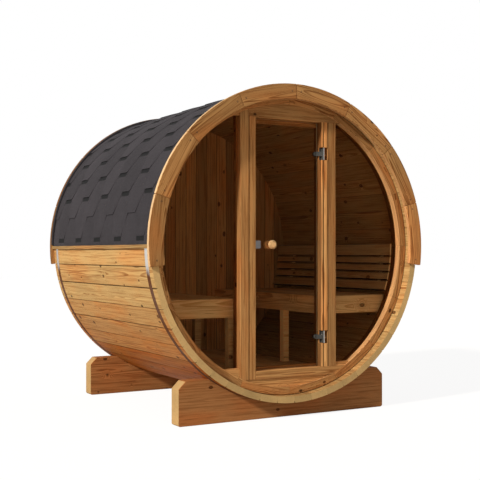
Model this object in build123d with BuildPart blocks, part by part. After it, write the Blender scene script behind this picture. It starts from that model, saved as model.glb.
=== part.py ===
from build123d import *
import math
import os

os.makedirs("parts", exist_ok=True)

# Barrel sauna, millimetres. The origin is on the ground under the middle of the
# barrel, +Z is up, the barrel's axis lies along Y and the doorway faces -Y.

# --- Barrel of staves ---
barrel_radius = 1000.0
stave_thickness = 42.0
stave_count = 48
staves_per_segment = 4
stave_length = 1734.0
stave_groove = 3.0
ground_clearance = 99.0

# --- Clearances ---
seat_gap = 0.3
joint_gap = 1.0

# --- Arched fascia boards on both ends ---
arch_overhang = 24.5
arch_lap = 73.0
arch_thickness = 28.0
arch_board_count = 8
arch_drop_angle = 7.5
arch_corner = 6.0
arch_arris = 3.0

# --- Steel bands ---
band_width = 40.0
band_thickness = 1.2
band_end_distance = 70.0
band_gap_angle = -52.0
band_gap = 34.0
lug_height = 22.0
lug_thickness = 4.0
tension_bolt_radius = 4.0
tension_bolt_length = 52.0
tension_nut_radius = 7.0
tension_nut_length = 7.0

# --- Roofing and eaves ---
roofing_radius_gap = 2.0
roofing_thickness = 8.0
eave_batten_height = 22.0
eave_batten_thickness = 16.0
band_notch_clearance = 4.0

# --- Cradles ---
cradle_rise = 173.0
cradle_horn_width = 214.0
cradle_thickness = 96.0
front_cradle_distance = 91.0
rear_cradle_distance = 76.0
cradle_corner = 48.0
cradle_foot_corner = 10.0

# --- Front frame ---
wall_recess = 59.0
frame_depth = 90.0
ring_width = 53.0
ring_piece_count = 16
post_width = 64.0
jamb_width = 51.0
jamb_setback = 2.0
jamb_bead_width = 22.0
jamb_groove = 9.0
door_opening_width = 500.0
post_arris = 5.0
sill_drop = 19.0
sill_height = 51.0
sill_stop_height = 17.0
pane_foot_height = 23.0
header_drop = 190.0
head_stop_height = 32.0
head_rail_height = 40.0
door_stop_gap = 6.0
panel_setback = 8.0
pane_setback = 45.0
glass_thickness = 8.0
glass_rebate = 10.0
rebate_clearance = 0.3

# --- Door leaf and its fittings ---
door_side_gap = 7.0
door_hinge_gap = 6.0
door_head_gap = 6.0
door_sill_gap = 6.0
lower_hinge_distance = 193.0
upper_hinge_distance = 207.0
hinge_axis_inset = 31.0
hinge_recess_height = 84.0
hinge_recess_depth = 34.0
hinge_barrel_radius = 7.0
hinge_pin_radius = 4.0
hinge_pin_clearance = 0.1
hinge_knuckle_gap = 0.5
hinge_moving_knuckle = 28.0
hinge_fixed_knuckle = 25.0
hinge_plate_thickness = 3.0
hinge_plate_width = 30.0
hinge_web_thickness = 6.0
clamp_disc_radius = 15.0
clamp_disc_thickness = 9.0
clamp_edge_distance = 11.0
clamp_neck_radius = 6.0
clamp_arm_thickness = 7.0
knob_radius = 29.0
knob_shoulder_radius = 25.0
knob_face_radius = 21.0
knob_crown_radius = 17.0
knob_projection = 40.0
knob_shoulder = 3.0
knob_crown = 2.0
knob_stem_radius = 11.0
knob_stem_length = 14.0
knob_bolt_radius = 4.0
knob_rise = 828.0
knob_edge_distance = 126.0
catch_height = 50.0
catch_width = 52.0
catch_thickness = 3.0

# --- Rear wall ---
rear_wall_thickness = 42.0
rear_board_count = 21
board_groove = 4.0
vent_aisle_distance = 140.0
vent_rise = 109.0
vent_radius = 38.0
vent_rim_radius = 48.0
vent_rim_thickness = 8.0
vent_slot_width = 8.0
vent_slot_length = 57.0
vent_slot_count = 5

# --- Floor ---
floor_rise = 134.0
floor_board_thickness = 28.0
floor_board_width = 140.0
floor_board_gap = 4.0
floor_board_count = 6
floor_end_gap = 4.0
joist_thickness = 45.0
joist_count = 3
joist_end_distance = 108.0

# --- Benches ---
bench_height = 485.0
bench_aisle = 304.0
bench_front_setback = 8.0
skirt_height = 116.0
skirt_thickness = 28.0
skirt_wall_gap = 9.0
seat_board_thickness = 28.0
seat_board_count = 4
seat_board_gap = 12.0
seat_wall_gap = 6.0
bearer_height = 70.0
bearer_thickness = 45.0
bearer_count = 4
bench_leg_width = 45.0
bench_leg_count = 3

# --- Backrests ---
backrest_slat_thickness = 30.0
backrest_rise = 22.0
backrest_slat_heights = (67.0, 52.0, 49.0, 48.0, 84.0)
backrest_slat_gap = 8.0
backrest_support_thickness = 28.0
backrest_support_width = 45.0
backrest_support_count = 3
backrest_support_distance = 162.0
backrest_end_gap = 12.0

# --- Derived sizes ---
axis_height = ground_clearance + barrel_radius
inner_radius = barrel_radius - stave_thickness
fit_radius = inner_radius - seat_gap
half_length = stave_length / 2
stave_angle = 360 / stave_count
segment_angle = stave_angle * staves_per_segment
segment_count = stave_count // staves_per_segment
arch_outer_radius = barrel_radius + arch_overhang
arch_inner_radius = barrel_radius - arch_lap
floor_top = ground_clearance + stave_thickness + floor_rise
sill_bottom = floor_top - sill_drop
sill_top = sill_bottom + sill_height
pane_bottom = sill_top + pane_foot_height
header_bottom = axis_height + barrel_radius - header_drop
bench_top = floor_top + bench_height
wall_front = -half_length + wall_recess
wall_back = wall_front + frame_depth
ring_inner_radius = fit_radius - ring_width
frame_radius = ring_inner_radius - seat_gap
glass_front = wall_front + pane_setback + rebate_clearance
glass_back = glass_front + glass_thickness
jamb_inner = door_opening_width / 2
post_inner = jamb_inner + jamb_width
post_outer = post_inner + post_width
rear_wall_outer = half_length - wall_recess
rear_wall_inner = rear_wall_outer - rear_wall_thickness
band_inner_radius = barrel_radius + seat_gap
band_outer_radius = band_inner_radius + band_thickness
band_offset = half_length - band_end_distance
hinge_x = jamb_inner + jamb_width - hinge_axis_inset
hinge_y = wall_front + jamb_setback + hinge_barrel_radius
leaf_left = -jamb_inner + door_side_gap
leaf_right = jamb_inner - door_hinge_gap
leaf_bottom = sill_top + door_sill_gap
leaf_top = header_bottom - door_head_gap
hinge_heights = (sill_top + lower_hinge_distance, header_bottom - upper_hinge_distance)
knob_height = floor_top + knob_rise
door_stop_front = glass_back + door_stop_gap
floor_bottom = floor_top - floor_board_thickness
bench_front = wall_back + bench_front_setback
seat_bottom = bench_top - seat_board_thickness
vent_x = bench_aisle + vent_aisle_distance
vent_z = floor_top + vent_rise


def across(y):
    """Plane square to the barrel's axis at y: local x is X, local y is the height over the axis."""
    return Plane(origin=(0, y, axis_height), x_dir=(1, 0, 0), z_dir=(0, -1, 0))


def over_axis(z):
    return z - axis_height


def polar(radius, angle):
    return (radius * math.cos(math.radians(angle)), radius * math.sin(math.radians(angle)))


def chord(radius, z):
    """Half width of a circle about the barrel's axis at height z."""
    return math.sqrt(radius**2 - over_axis(z) ** 2)


def ring_sector(outer, inner, start, span):
    """Sketch of one curved board: an annulus sector from angle start through span degrees."""
    with BuildSketch() as sector:
        with BuildLine():
            rim = CenterArc((0, 0), outer, start, span)
            bore = CenterArc((0, 0), inner, start, span)
            Line(rim @ 0, bore @ 0)
            Line(rim @ 1, bore @ 1)
        make_face()
    return sector.sketch


def rectangle_between(x0, x1, z0, z1):
    """Sketch rectangle by its sides, in the plane of across()."""
    with BuildSketch() as box:
        with Locations(((x0 + x1) / 2, over_axis((z0 + z1) / 2))):
            Rectangle(x1 - x0, z1 - z0)
    return box.sketch


# === Shell: staves with a small V groove at each joint, four to a segment ===
groove_angle = math.degrees(stave_groove / barrel_radius)
half_stave = stave_angle / 2
with BuildSketch() as stave_profile:
    with BuildLine():
        stave_back = CenterArc(
            (0, 0), barrel_radius, groove_angle - half_stave, stave_angle - 2 * groove_angle
        )
        stave_face = CenterArc(
            (0, 0), inner_radius, groove_angle - half_stave, stave_angle - 2 * groove_angle
        )
        Polyline(
            stave_back @ 1,
            polar(barrel_radius - stave_groove, half_stave),
            polar(inner_radius + stave_groove, half_stave),
            stave_face @ 1,
        )
        Polyline(
            stave_back @ 0,
            polar(barrel_radius - stave_groove, -half_stave),
            polar(inner_radius + stave_groove, -half_stave),
            stave_face @ 0,
        )
    make_face()

for index in range(segment_count):
    segment_start = index * segment_angle
    with BuildPart() as shell_segment:
        with BuildSketch(across(half_length)):
            with PolarLocations(0, staves_per_segment, segment_start + half_stave, segment_angle):
                add(stave_profile.sketch)
        extrude(amount=stave_length)
    shell_segment.part.label = f"shell_segment_{index + 1:02d}"
    export_step(shell_segment.part, f"parts/{shell_segment.part.label}.step")

# === Steel bands: an open hoop whose ends turn out as lugs, drawn up by a bolt ===
band_open_angle = math.degrees(band_gap / band_outer_radius)
band_start = band_gap_angle + band_open_angle / 2
lug_middle = band_inner_radius + lug_height / 2
lug_direction = polar(1, band_gap_angle)
with BuildPart() as steel_bands:
    for band_y in (-band_offset, band_offset):
        lug_plane = Plane(
            origin=(0, band_y, axis_height),
            x_dir=(lug_direction[0], 0, lug_direction[1]),
            z_dir=(0, -1, 0),
        )
        with BuildSketch(across(band_y)):
            add(ring_sector(band_outer_radius, band_inner_radius, band_start, 360 - band_open_angle))
        extrude(amount=band_width / 2, both=True)
        with BuildSketch(lug_plane):
            with Locations((lug_middle, band_gap / 2), (lug_middle, -band_gap / 2)):
                Rectangle(lug_height, lug_thickness)
        extrude(amount=band_width / 2, both=True)
        bolt_plane = Plane(lug_plane.from_local_coords((lug_middle, 0, 0)), z_dir=lug_plane.y_dir)
        with BuildSketch(bolt_plane):
            Circle(tension_bolt_radius)
        extrude(amount=tension_bolt_length / 2, both=True)
        nut_offset = band_gap / 2 + lug_thickness / 2
        with BuildSketch(bolt_plane.offset(nut_offset)):
            RegularPolygon(tension_nut_radius, 6)
        extrude(amount=tension_nut_length)
        with BuildSketch(bolt_plane.offset(-nut_offset)):
            RegularPolygon(tension_nut_radius, 6)
        extrude(amount=-tension_nut_length)
steel_bands.part.label = "steel_bands"
export_step(steel_bands.part, "parts/steel_bands.step")

# === Cradles: thick planks hollowed to the barrel's curve ===
cradle_height = ground_clearance + cradle_rise
cradle_half_width = chord(barrel_radius, cradle_height) + cradle_horn_width
for cradle_name, cradle_back in (
    ("front_cradle", front_cradle_distance + cradle_thickness - half_length),
    ("rear_cradle", half_length - rear_cradle_distance),
):
    with BuildPart() as cradle:
        with BuildSketch(across(cradle_back)):
            add(rectangle_between(-cradle_half_width, cradle_half_width, 0, cradle_height))
            chamfer(vertices().group_by(Axis.Y)[-1], cradle_corner)
            chamfer(vertices().group_by(Axis.Y)[0], cradle_foot_corner)
            Circle(barrel_radius + seat_gap, mode=Mode.SUBTRACT)
        extrude(amount=cradle_thickness)
        for band_y in (-band_offset, band_offset):
            with BuildSketch(across(band_y)):
                Circle(band_outer_radius + roofing_radius_gap)
            extrude(amount=band_width / 2 + seat_gap, both=True, mode=Mode.SUBTRACT)
    cradle.part.label = cradle_name
    export_step(cradle.part, f"parts/{cradle_name}.step")

# === Arched fascia: curved boards over the stave ends, from eave to eave over the top ===
arch_board_angle = (180 + 2 * arch_drop_angle) / arch_board_count
arch_gap_angle = math.degrees(joint_gap / arch_outer_radius)
with BuildPart() as arch_board:
    with BuildSketch():
        add(
            ring_sector(
                arch_outer_radius,
                arch_inner_radius,
                arch_gap_angle / 2 - arch_board_angle / 2,
                arch_board_angle - arch_gap_angle,
            )
        )
        fillet(vertices(), arch_corner)
    extrude(amount=arch_thickness)
    chamfer(faces().sort_by(Axis.Z)[-1].edges(), arch_arris)

for arch_name, arch_plane in (
    ("front_arch", across(-half_length)),
    ("rear_arch", Plane(origin=(0, half_length, axis_height), x_dir=(-1, 0, 0), z_dir=(0, 1, 0))),
):
    with BuildPart() as arch:
        with Locations(arch_plane):
            with PolarLocations(
                0,
                arch_board_count,
                arch_board_angle / 2 - arch_drop_angle,
                arch_board_angle * arch_board_count,
            ):
                add(arch_board.part)
    arch.part.label = arch_name
    export_step(arch.part, f"parts/{arch_name}.step")

# === Eave battens: strips on the staves that carry the roofing's lower edge ===
batten_inner = barrel_radius + seat_gap
batten_outer = batten_inner + eave_batten_thickness
cover_half_length = half_length - seat_gap
with BuildPart() as eave_battens:
    with BuildSketch(across(cover_half_length)):
        for side in (-1, 1):
            with Locations((side * (batten_inner + batten_outer) / 2, -eave_batten_height / 2)):
                Rectangle(eave_batten_thickness, eave_batten_height)
    extrude(amount=2 * cover_half_length)
    with BuildSketch(Plane.XY.offset(axis_height)):
        with GridLocations(2 * batten_inner, 2 * band_offset, 2, 2):
            Rectangle(2 * roofing_radius_gap, band_width + band_notch_clearance)
    extrude(amount=-eave_batten_height, mode=Mode.SUBTRACT)
eave_battens.part.label = "eave_battens"
export_step(eave_battens.part, "parts/eave_battens.step")

# === Roofing: layered bitumen tiles on the upper half, in two sheets that meet at the ridge ===
roofing_inner = barrel_radius + roofing_radius_gap
for side_name, roof_start in (("right", 0), ("left", 90)):
    with BuildPart() as roofing:
        with BuildSketch(across(cover_half_length)):
            add(ring_sector(roofing_inner + roofing_thickness, roofing_inner, roof_start, 90))
        extrude(amount=2 * cover_half_length)
    roofing.part.label = f"{side_name}_roofing"
    export_step(roofing.part, f"parts/{roofing.part.label}.step")

# === Front ring: curved pieces inside the staves, grooved for the glass ===
ring_gap_angle = math.degrees(joint_gap / fit_radius)
ring_piece_angle = 360 / ring_piece_count
with BuildPart() as ring_piece:
    with BuildSketch(Plane.XY):
        with Locations(((fit_radius + ring_inner_radius) / 2, (wall_front + wall_back) / 2)):
            Rectangle(ring_width, frame_depth)
        with Locations((ring_inner_radius, (glass_front + glass_back) / 2)):
            Rectangle(
                2 * (glass_rebate + rebate_clearance),
                glass_thickness + 2 * rebate_clearance,
                mode=Mode.SUBTRACT,
            )
    revolve(axis=Axis.Y, revolution_arc=ring_piece_angle - ring_gap_angle)

with BuildPart() as front_ring:
    for index in range(ring_piece_count):
        with Locations(Location((0, 0, axis_height), (0, index * ring_piece_angle, 0))):
            add(ring_piece.part)
front_ring.part.label = "front_ring"
export_step(front_ring.part, "parts/front_ring.step")

# === Posts: the left one runs past the sill, the right one stands on it ===
groove_depth = glass_rebate + rebate_clearance
groove_width = glass_thickness + 2 * rebate_clearance
for side_name, side, post_foot, post_head in (
    ("left", -1, sill_bottom, axis_height + barrel_radius),
    ("right", 1, sill_top, header_bottom),
):
    with BuildPart() as post:
        with BuildSketch(across(wall_back)):
            Circle(frame_radius)
            add(
                rectangle_between(
                    min(side * post_inner, side * post_outer),
                    max(side * post_inner, side * post_outer),
                    post_foot,
                    post_head,
                ),
                mode=Mode.INTERSECT,
            )
        extrude(amount=frame_depth)
        fillet(edges().filter_by(Axis.Z).group_by(Axis.Y)[0], post_arris)
        with BuildSketch(Plane.XY.offset(pane_bottom - glass_rebate - rebate_clearance)):
            with Locations((side * post_outer, (glass_front + glass_back) / 2)):
                Rectangle(2 * groove_depth, groove_width)
        extrude(
            amount=header_bottom - pane_bottom + 2 * (glass_rebate + rebate_clearance),
            mode=Mode.SUBTRACT,
        )
    post.part.label = f"{side_name}_post"
    export_step(post.part, f"parts/{post.part.label}.step")

# === Jambs: strips inside the posts; the right one is recessed for the hinges ===
jamb_depth = frame_depth - jamb_setback
for side_name, side, jamb_foot in (("left", -1, sill_bottom), ("right", 1, sill_top)):
    with BuildPart() as jamb:
        with BuildSketch(across(wall_back)):
            add(
                rectangle_between(
                    min(side * jamb_inner, side * post_inner),
                    max(side * jamb_inner, side * post_inner),
                    jamb_foot,
                    header_bottom,
                )
            )
        extrude(amount=jamb_depth)
        fillet(edges().filter_by(Axis.Z).group_by(Axis.Y)[0], post_arris)
        if side > 0:
            with BuildSketch(Plane.XY.offset(jamb_foot)):
                with Locations(Location((jamb_inner + jamb_bead_width, wall_front + jamb_setback, 0), (0, 0, 45))):
                    Rectangle(jamb_groove, jamb_groove)
            extrude(amount=header_bottom - jamb_foot, mode=Mode.SUBTRACT)
            with Locations(
                *[(jamb_inner + jamb_width / 2, wall_front + jamb_setback, z) for z in hinge_heights]
            ):
                Box(
                    jamb_width,
                    2 * hinge_recess_depth,
                    hinge_recess_height,
                    mode=Mode.SUBTRACT,
                )
    jamb.part.label = f"{side_name}_jamb"
    export_step(jamb.part, f"parts/{jamb.part.label}.step")

# === Sill: from the left jamb to the ring, under the right jamb and post, with the door's stop on it ===
with BuildPart() as sill:
    with BuildSketch(across(wall_back)):
        Circle(frame_radius)
        add(
            rectangle_between(-jamb_inner, barrel_radius, sill_bottom, sill_top),
            mode=Mode.INTERSECT,
        )
    extrude(amount=frame_depth)
    sill_arris = edges().filter_by(Axis.X).group_by(Axis.Y)[0].sort_by(Axis.Z)[-1]
    fillet(sill_arris, post_arris)
    with BuildSketch(across(wall_back)):
        add(rectangle_between(-jamb_inner, jamb_inner - seat_gap, sill_top, sill_top + sill_stop_height))
    extrude(amount=wall_back - door_stop_front)
sill.part.label = "sill"
export_step(sill.part, "parts/sill.step")

# === Lower panel: the board below the sill and the left pane, and the right pane's foot on the sill ===
panel_front = wall_front + panel_setback
panel_thickness = glass_front - rebate_clearance - panel_front
with BuildPart() as lower_panel:
    with BuildSketch(across(panel_front + panel_thickness)):
        Circle(frame_radius)
        add(
            rectangle_between(-barrel_radius, barrel_radius, 0, pane_bottom),
            mode=Mode.INTERSECT,
        )
        add(
            rectangle_between(-post_outer, post_outer, sill_bottom, pane_bottom),
            mode=Mode.SUBTRACT,
        )
        add(
            rectangle_between(-post_outer, barrel_radius, sill_bottom, sill_top),
            mode=Mode.SUBTRACT,
        )
    extrude(amount=panel_thickness)
lower_panel.part.label = "lower_panel"
export_step(lower_panel.part, "parts/lower_panel.step")

# === Header: the board over the doorway and the panes, and behind it the rail that stops the door ===
with BuildPart() as header_panel:
    with BuildSketch(across(panel_front + panel_thickness)):
        Circle(frame_radius)
        add(
            rectangle_between(
                -barrel_radius, barrel_radius, header_bottom, axis_height + barrel_radius
            ),
            mode=Mode.INTERSECT,
        )
        add(
            rectangle_between(
                -post_outer, -post_inner, header_bottom, axis_height + barrel_radius
            ),
            mode=Mode.SUBTRACT,
        )
    extrude(amount=panel_thickness)
    with BuildSketch(across(wall_back)):
        add(
            rectangle_between(
                seat_gap - jamb_inner, jamb_inner - seat_gap, header_bottom - head_stop_height, header_bottom
            )
        )
        add(
            rectangle_between(
                seat_gap - post_inner, post_inner, header_bottom, header_bottom + head_rail_height
            )
        )
    extrude(amount=wall_back - door_stop_front)
header_panel.part.label = "header_panel"
export_step(header_panel.part, "parts/header_panel.step")

# === Side panes: segments of tinted glass in the ring, the posts and behind the panels ===
pane_radius = ring_inner_radius + glass_rebate
for side_name, side in (("left", -1), ("right", 1)):
    with BuildPart() as pane:
        with BuildSketch(across(glass_back)):
            Circle(pane_radius)
            add(
                rectangle_between(
                    min(side * (post_outer - glass_rebate), side * barrel_radius),
                    max(side * (post_outer - glass_rebate), side * barrel_radius),
                    pane_bottom - glass_rebate,
                    header_bottom + glass_rebate,
                ),
                mode=Mode.INTERSECT,
            )
        extrude(amount=glass_thickness)
    pane.part.label = f"{side_name}_pane"
    export_step(pane.part, f"parts/{pane.part.label}.step")

# === Door leaf: one sheet of glass, bored for its hinge clamps and knob ===
clamp_x = leaf_right - clamp_edge_distance
knob_x = leaf_left + knob_edge_distance
with BuildPart() as door_glass:
    with BuildSketch(across(glass_back)):
        add(rectangle_between(leaf_left, leaf_right, leaf_bottom, leaf_top))
        with Locations(*[(clamp_x, over_axis(z)) for z in hinge_heights]):
            Circle(clamp_neck_radius + rebate_clearance, mode=Mode.SUBTRACT)
        with Locations((knob_x, over_axis(knob_height))):
            Circle(knob_bolt_radius + rebate_clearance, mode=Mode.SUBTRACT)
    extrude(amount=glass_thickness)
door_glass.part.label = "door_glass"
export_step(door_glass.part, "parts/door_glass.step")

# === Hinges, fixed half: plate in the jamb's recess, two knuckles and the pin ===
recess_floor = wall_front + jamb_setback + hinge_recess_depth
knuckle_offset = hinge_moving_knuckle / 2 + hinge_knuckle_gap
pin_length = 2 * (knuckle_offset + hinge_fixed_knuckle)
with BuildPart() as hinge_plates:
    for hinge_z in hinge_heights:
        with BuildSketch(Plane.XY.offset(hinge_z - pin_length / 2)):
            with Locations((hinge_x, recess_floor - hinge_plate_thickness / 2)):
                Rectangle(hinge_plate_width, hinge_plate_thickness)
        extrude(amount=pin_length)
        for knuckle_z in (hinge_z - pin_length / 2, hinge_z + knuckle_offset):
            with BuildSketch(Plane.XY.offset(knuckle_z)):
                with Locations((hinge_x, hinge_y)):
                    Circle(hinge_barrel_radius)
                with Locations((hinge_x, (hinge_y + recess_floor) / 2)):
                    Rectangle(hinge_web_thickness, recess_floor - hinge_y)
            extrude(amount=hinge_fixed_knuckle)
        with BuildSketch(Plane.XY.offset(hinge_z - pin_length / 2)):
            with Locations((hinge_x, hinge_y)):
                Circle(hinge_pin_radius)
        extrude(amount=pin_length)
hinge_plates.part.label = "hinge_plates"
export_step(hinge_plates.part, "parts/hinge_plates.step")

# === Hinges, moving half: middle knuckle, arm and a clamp through the glass ===
clamp_front = glass_front - clamp_disc_thickness
arm_angle = math.degrees(math.atan2(clamp_front - hinge_y, clamp_x - hinge_x))
arm_length = math.hypot(clamp_front - hinge_y, clamp_x - hinge_x)
with BuildPart() as hinge_clamps:
    for hinge_z in hinge_heights:
        with BuildSketch(Plane.XY.offset(hinge_z - hinge_moving_knuckle / 2)):
            with Locations((hinge_x, hinge_y)):
                Circle(hinge_barrel_radius)
            with Locations(Location((hinge_x, hinge_y, 0), (0, 0, arm_angle))):
                with Locations((arm_length / 2, 0)):
                    Rectangle(arm_length, clamp_arm_thickness)
            with Locations((hinge_x, hinge_y)):
                Circle(hinge_pin_radius + hinge_pin_clearance, mode=Mode.SUBTRACT)
        extrude(amount=hinge_moving_knuckle)
        with BuildSketch(across(glass_front)):
            with Locations((clamp_x, over_axis(hinge_z))):
                Circle(clamp_disc_radius)
        extrude(amount=clamp_disc_thickness)
        with BuildSketch(across(glass_back + clamp_disc_thickness)):
            with Locations((clamp_x, over_axis(hinge_z))):
                Circle(clamp_disc_radius)
        extrude(amount=clamp_disc_thickness)
        with BuildSketch(across(glass_back)):
            with Locations((clamp_x, over_axis(hinge_z))):
                Circle(clamp_neck_radius)
        extrude(amount=glass_thickness)
hinge_clamps.part.label = "hinge_clamps"
export_step(hinge_clamps.part, "parts/hinge_clamps.step")

# === Knob: turned wood on both faces of the glass, joined by its bolt ===
with BuildSketch() as knob_section:
    with BuildLine():
        Polyline(
            (0, 0),
            (knob_stem_radius, 0),
            (knob_stem_radius, knob_stem_length),
            (knob_shoulder_radius, knob_stem_length + knob_shoulder),
        )
        ThreePointArc(
            (knob_shoulder_radius, knob_stem_length + knob_shoulder),
            (knob_radius, (knob_stem_length + knob_projection) / 2),
            (knob_face_radius, knob_projection - knob_crown),
        )
        Polyline(
            (knob_face_radius, knob_projection - knob_crown),
            (knob_crown_radius, knob_projection),
            (0, knob_projection),
            (0, 0),
        )
    make_face()
with BuildPart() as door_knob:
    with BuildSketch(Plane(origin=(knob_x, glass_front, knob_height), x_dir=(1, 0, 0), z_dir=(0, 0, -1))):
        add(knob_section.sketch)
    revolve(axis=Axis((knob_x, glass_front, knob_height), (0, 1, 0)))
    with BuildSketch(Plane(origin=(knob_x, glass_back, knob_height), x_dir=(1, 0, 0), z_dir=(0, 0, 1))):
        add(knob_section.sketch)
    revolve(axis=Axis((knob_x, glass_back, knob_height), (0, 1, 0)))
    with BuildSketch(across(glass_back)):
        with Locations((knob_x, over_axis(knob_height))):
            Circle(knob_bolt_radius)
    extrude(amount=glass_thickness)
door_knob.part.label = "door_knob"
export_step(door_knob.part, "parts/door_knob.step")

# === Catch plate: steel plate on the leaf's free edge ===
with BuildPart() as catch_plate:
    with BuildSketch(across(glass_front)):
        with Locations((leaf_left + catch_width / 2, over_axis(knob_height))):
            RectangleRounded(catch_width, catch_height, catch_thickness)
    extrude(amount=catch_thickness)
catch_plate.part.label = "catch_plate"
export_step(catch_plate.part, "parts/catch_plate.step")

# === Rear wall: a disc of upright boards with a round vent hole ===
rear_board_width = 2 * fit_radius / rear_board_count
with BuildPart() as rear_wall:
    with BuildSketch(across(rear_wall_outer)):
        Circle(fit_radius)
        with Locations((vent_x, over_axis(vent_z))):
            Circle(vent_radius, mode=Mode.SUBTRACT)
    extrude(amount=rear_wall_thickness)
    for face_y in (rear_wall_inner, rear_wall_outer):
        with BuildSketch(Plane.XY.offset(axis_height - barrel_radius)):
            for index in range(1, rear_board_count):
                groove_x = index * rear_board_width - fit_radius
                with Locations(Location((groove_x, face_y, 0), (0, 0, 45))):
                    Rectangle(board_groove, board_groove)
        extrude(amount=2 * barrel_radius, mode=Mode.SUBTRACT)
rear_wall.part.label = "rear_wall"
export_step(rear_wall.part, "parts/rear_wall.step")

# === Vent: a rim with slots on the room side of the rear wall ===
with BuildPart() as rear_vent:
    with BuildSketch(across(rear_wall_inner)):
        with Locations((vent_x, over_axis(vent_z))):
            Circle(vent_rim_radius)
            with GridLocations(0, 2 * vent_slot_width, 1, vent_slot_count):
                SlotOverall(vent_slot_length, vent_slot_width, mode=Mode.SUBTRACT)
    extrude(amount=vent_rim_thickness)
rear_vent.part.label = "rear_vent"
export_step(rear_vent.part, "parts/rear_vent.step")

# === Floor: boards on joists shaped to the barrel's bottom ===
floor_front = wall_back + floor_end_gap
floor_length = rear_wall_inner - floor_end_gap - floor_front
floor_half_width = (
    floor_board_count * floor_board_width + (floor_board_count - 1) * floor_board_gap
) / 2
with BuildPart() as floor_boards:
    with BuildSketch(Plane.XY.offset(floor_bottom)):
        with Locations((0, floor_front + floor_length / 2)):
            with GridLocations(floor_board_width + floor_board_gap, 0, floor_board_count, 1):
                Rectangle(floor_board_width, floor_length)
    extrude(amount=floor_board_thickness)
floor_boards.part.label = "floor_boards"
export_step(floor_boards.part, "parts/floor_boards.step")

first_joist = floor_front + joist_end_distance
joist_pitch = (floor_length - 2 * joist_end_distance) / (joist_count - 1)
with BuildPart() as floor_joists:
    for index in range(joist_count):
        with BuildSketch(across(first_joist + index * joist_pitch)):
            Circle(fit_radius)
            add(
                rectangle_between(-floor_half_width, floor_half_width, 0, floor_bottom),
                mode=Mode.INTERSECT,
            )
        extrude(amount=joist_thickness / 2, both=True)
floor_joists.part.label = "floor_joists"
export_step(floor_joists.part, "parts/floor_joists.step")

# === Benches: slatted seats with skirts at the aisle and the front end ===
skirt_bottom = bench_top - skirt_height
bench_back = rear_wall_inner - seat_gap
seat_inner = bench_aisle + skirt_thickness
seat_outer = chord(fit_radius, seat_bottom) - seat_wall_gap
seat_board_width = (seat_outer - seat_inner - (seat_board_count - 1) * seat_board_gap) / seat_board_count
seat_front = bench_front + skirt_thickness
skirt_end = chord(fit_radius, skirt_bottom) - skirt_wall_gap
bearer_inset = bearer_thickness / 2 + seat_gap
bearer_pitch = (bench_back - seat_front - 2 * bearer_inset) / (bearer_count - 1)
leg_outer = seat_inner + bench_leg_width
with BuildPart() as bench_skirts:
    with BuildSketch(Plane.XY.offset(skirt_bottom)):
        for side in (-1, 1):
            with Locations((side * (bench_aisle + skirt_thickness / 2), (bench_front + bench_back) / 2)):
                Rectangle(skirt_thickness, bench_back - bench_front)
            with Locations((side * (bench_aisle + skirt_end) / 2, bench_front + skirt_thickness / 2)):
                Rectangle(skirt_end - bench_aisle, skirt_thickness)
    extrude(amount=skirt_height)
bench_skirts.part.label = "bench_skirts"
export_step(bench_skirts.part, "parts/bench_skirts.step")

with BuildPart() as bench_frames:
    for index in range(bearer_count):
        with BuildSketch(across(seat_front + bearer_inset + index * bearer_pitch)):
            Circle(fit_radius)
            add(
                rectangle_between(-barrel_radius, barrel_radius, seat_bottom - bearer_height, seat_bottom),
                mode=Mode.INTERSECT,
            )
            if index < bench_leg_count:
                add(rectangle_between(-leg_outer, leg_outer, floor_top, seat_bottom))
            add(rectangle_between(-seat_inner, seat_inner, floor_top, seat_bottom), mode=Mode.SUBTRACT)
        extrude(amount=bearer_thickness / 2, both=True)
bench_frames.part.label = "bench_frames"
export_step(bench_frames.part, "parts/bench_frames.step")

for side_name, side in (("left", -1), ("right", 1)):
    with BuildPart() as bench_seat:
        with BuildSketch(Plane.XY.offset(seat_bottom)):
            with Locations((side * (seat_inner + seat_outer) / 2, (seat_front + bench_back) / 2)):
                with GridLocations(seat_board_width + seat_board_gap, 0, seat_board_count, 1):
                    Rectangle(seat_board_width, bench_back - seat_front)
        extrude(amount=seat_board_thickness)
    bench_seat.part.label = f"{side_name}_bench_seat"
    export_step(bench_seat.part, f"parts/{bench_seat.part.label}.step")

    # Backrest: slats that follow the barrel's wall on curved supports
    support_inner_radius = fit_radius - backrest_support_thickness
    backrest_back = bench_back - backrest_end_gap
    slat_bottom = over_axis(bench_top + backrest_rise)
    support_low = math.degrees(math.asin(slat_bottom / fit_radius))
    with BuildPart() as backrest:
        with BuildSketch(across(backrest_back)):
            for slat_height in backrest_slat_heights:
                slat_lean = math.degrees(math.asin((slat_bottom + slat_height / 2) / support_inner_radius))
                slat_sag = support_inner_radius - math.sqrt(support_inner_radius**2 - (slat_height / 2) ** 2)
                slat_x, slat_z = polar(
                    support_inner_radius - backrest_slat_thickness / 2 - slat_sag + seat_gap, slat_lean
                )
                with Locations(Location((side * slat_x, slat_z, 0), (0, 0, side * slat_lean))):
                    Rectangle(backrest_slat_thickness, slat_height)
                slat_top = slat_bottom + slat_height
                slat_bottom = slat_top + backrest_slat_gap
        extrude(amount=backrest_back - bench_front)
        support_span = math.degrees(math.asin(slat_top / fit_radius)) - support_low
        support_start = support_low if side > 0 else 180 - support_low - support_span
        first_support = bench_front + backrest_support_distance
        support_pitch = (backrest_back - backrest_support_distance - first_support) / (
            backrest_support_count - 1
        )
        for index in range(backrest_support_count):
            with BuildSketch(across(first_support + index * support_pitch)):
                add(ring_sector(fit_radius, support_inner_radius - 2 * seat_gap, support_start, support_span))
            extrude(amount=backrest_support_width / 2, both=True)
    backrest.part.label = f"{side_name}_backrest"
    export_step(backrest.part, f"parts/{backrest.part.label}.step")
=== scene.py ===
import math
import random

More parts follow.
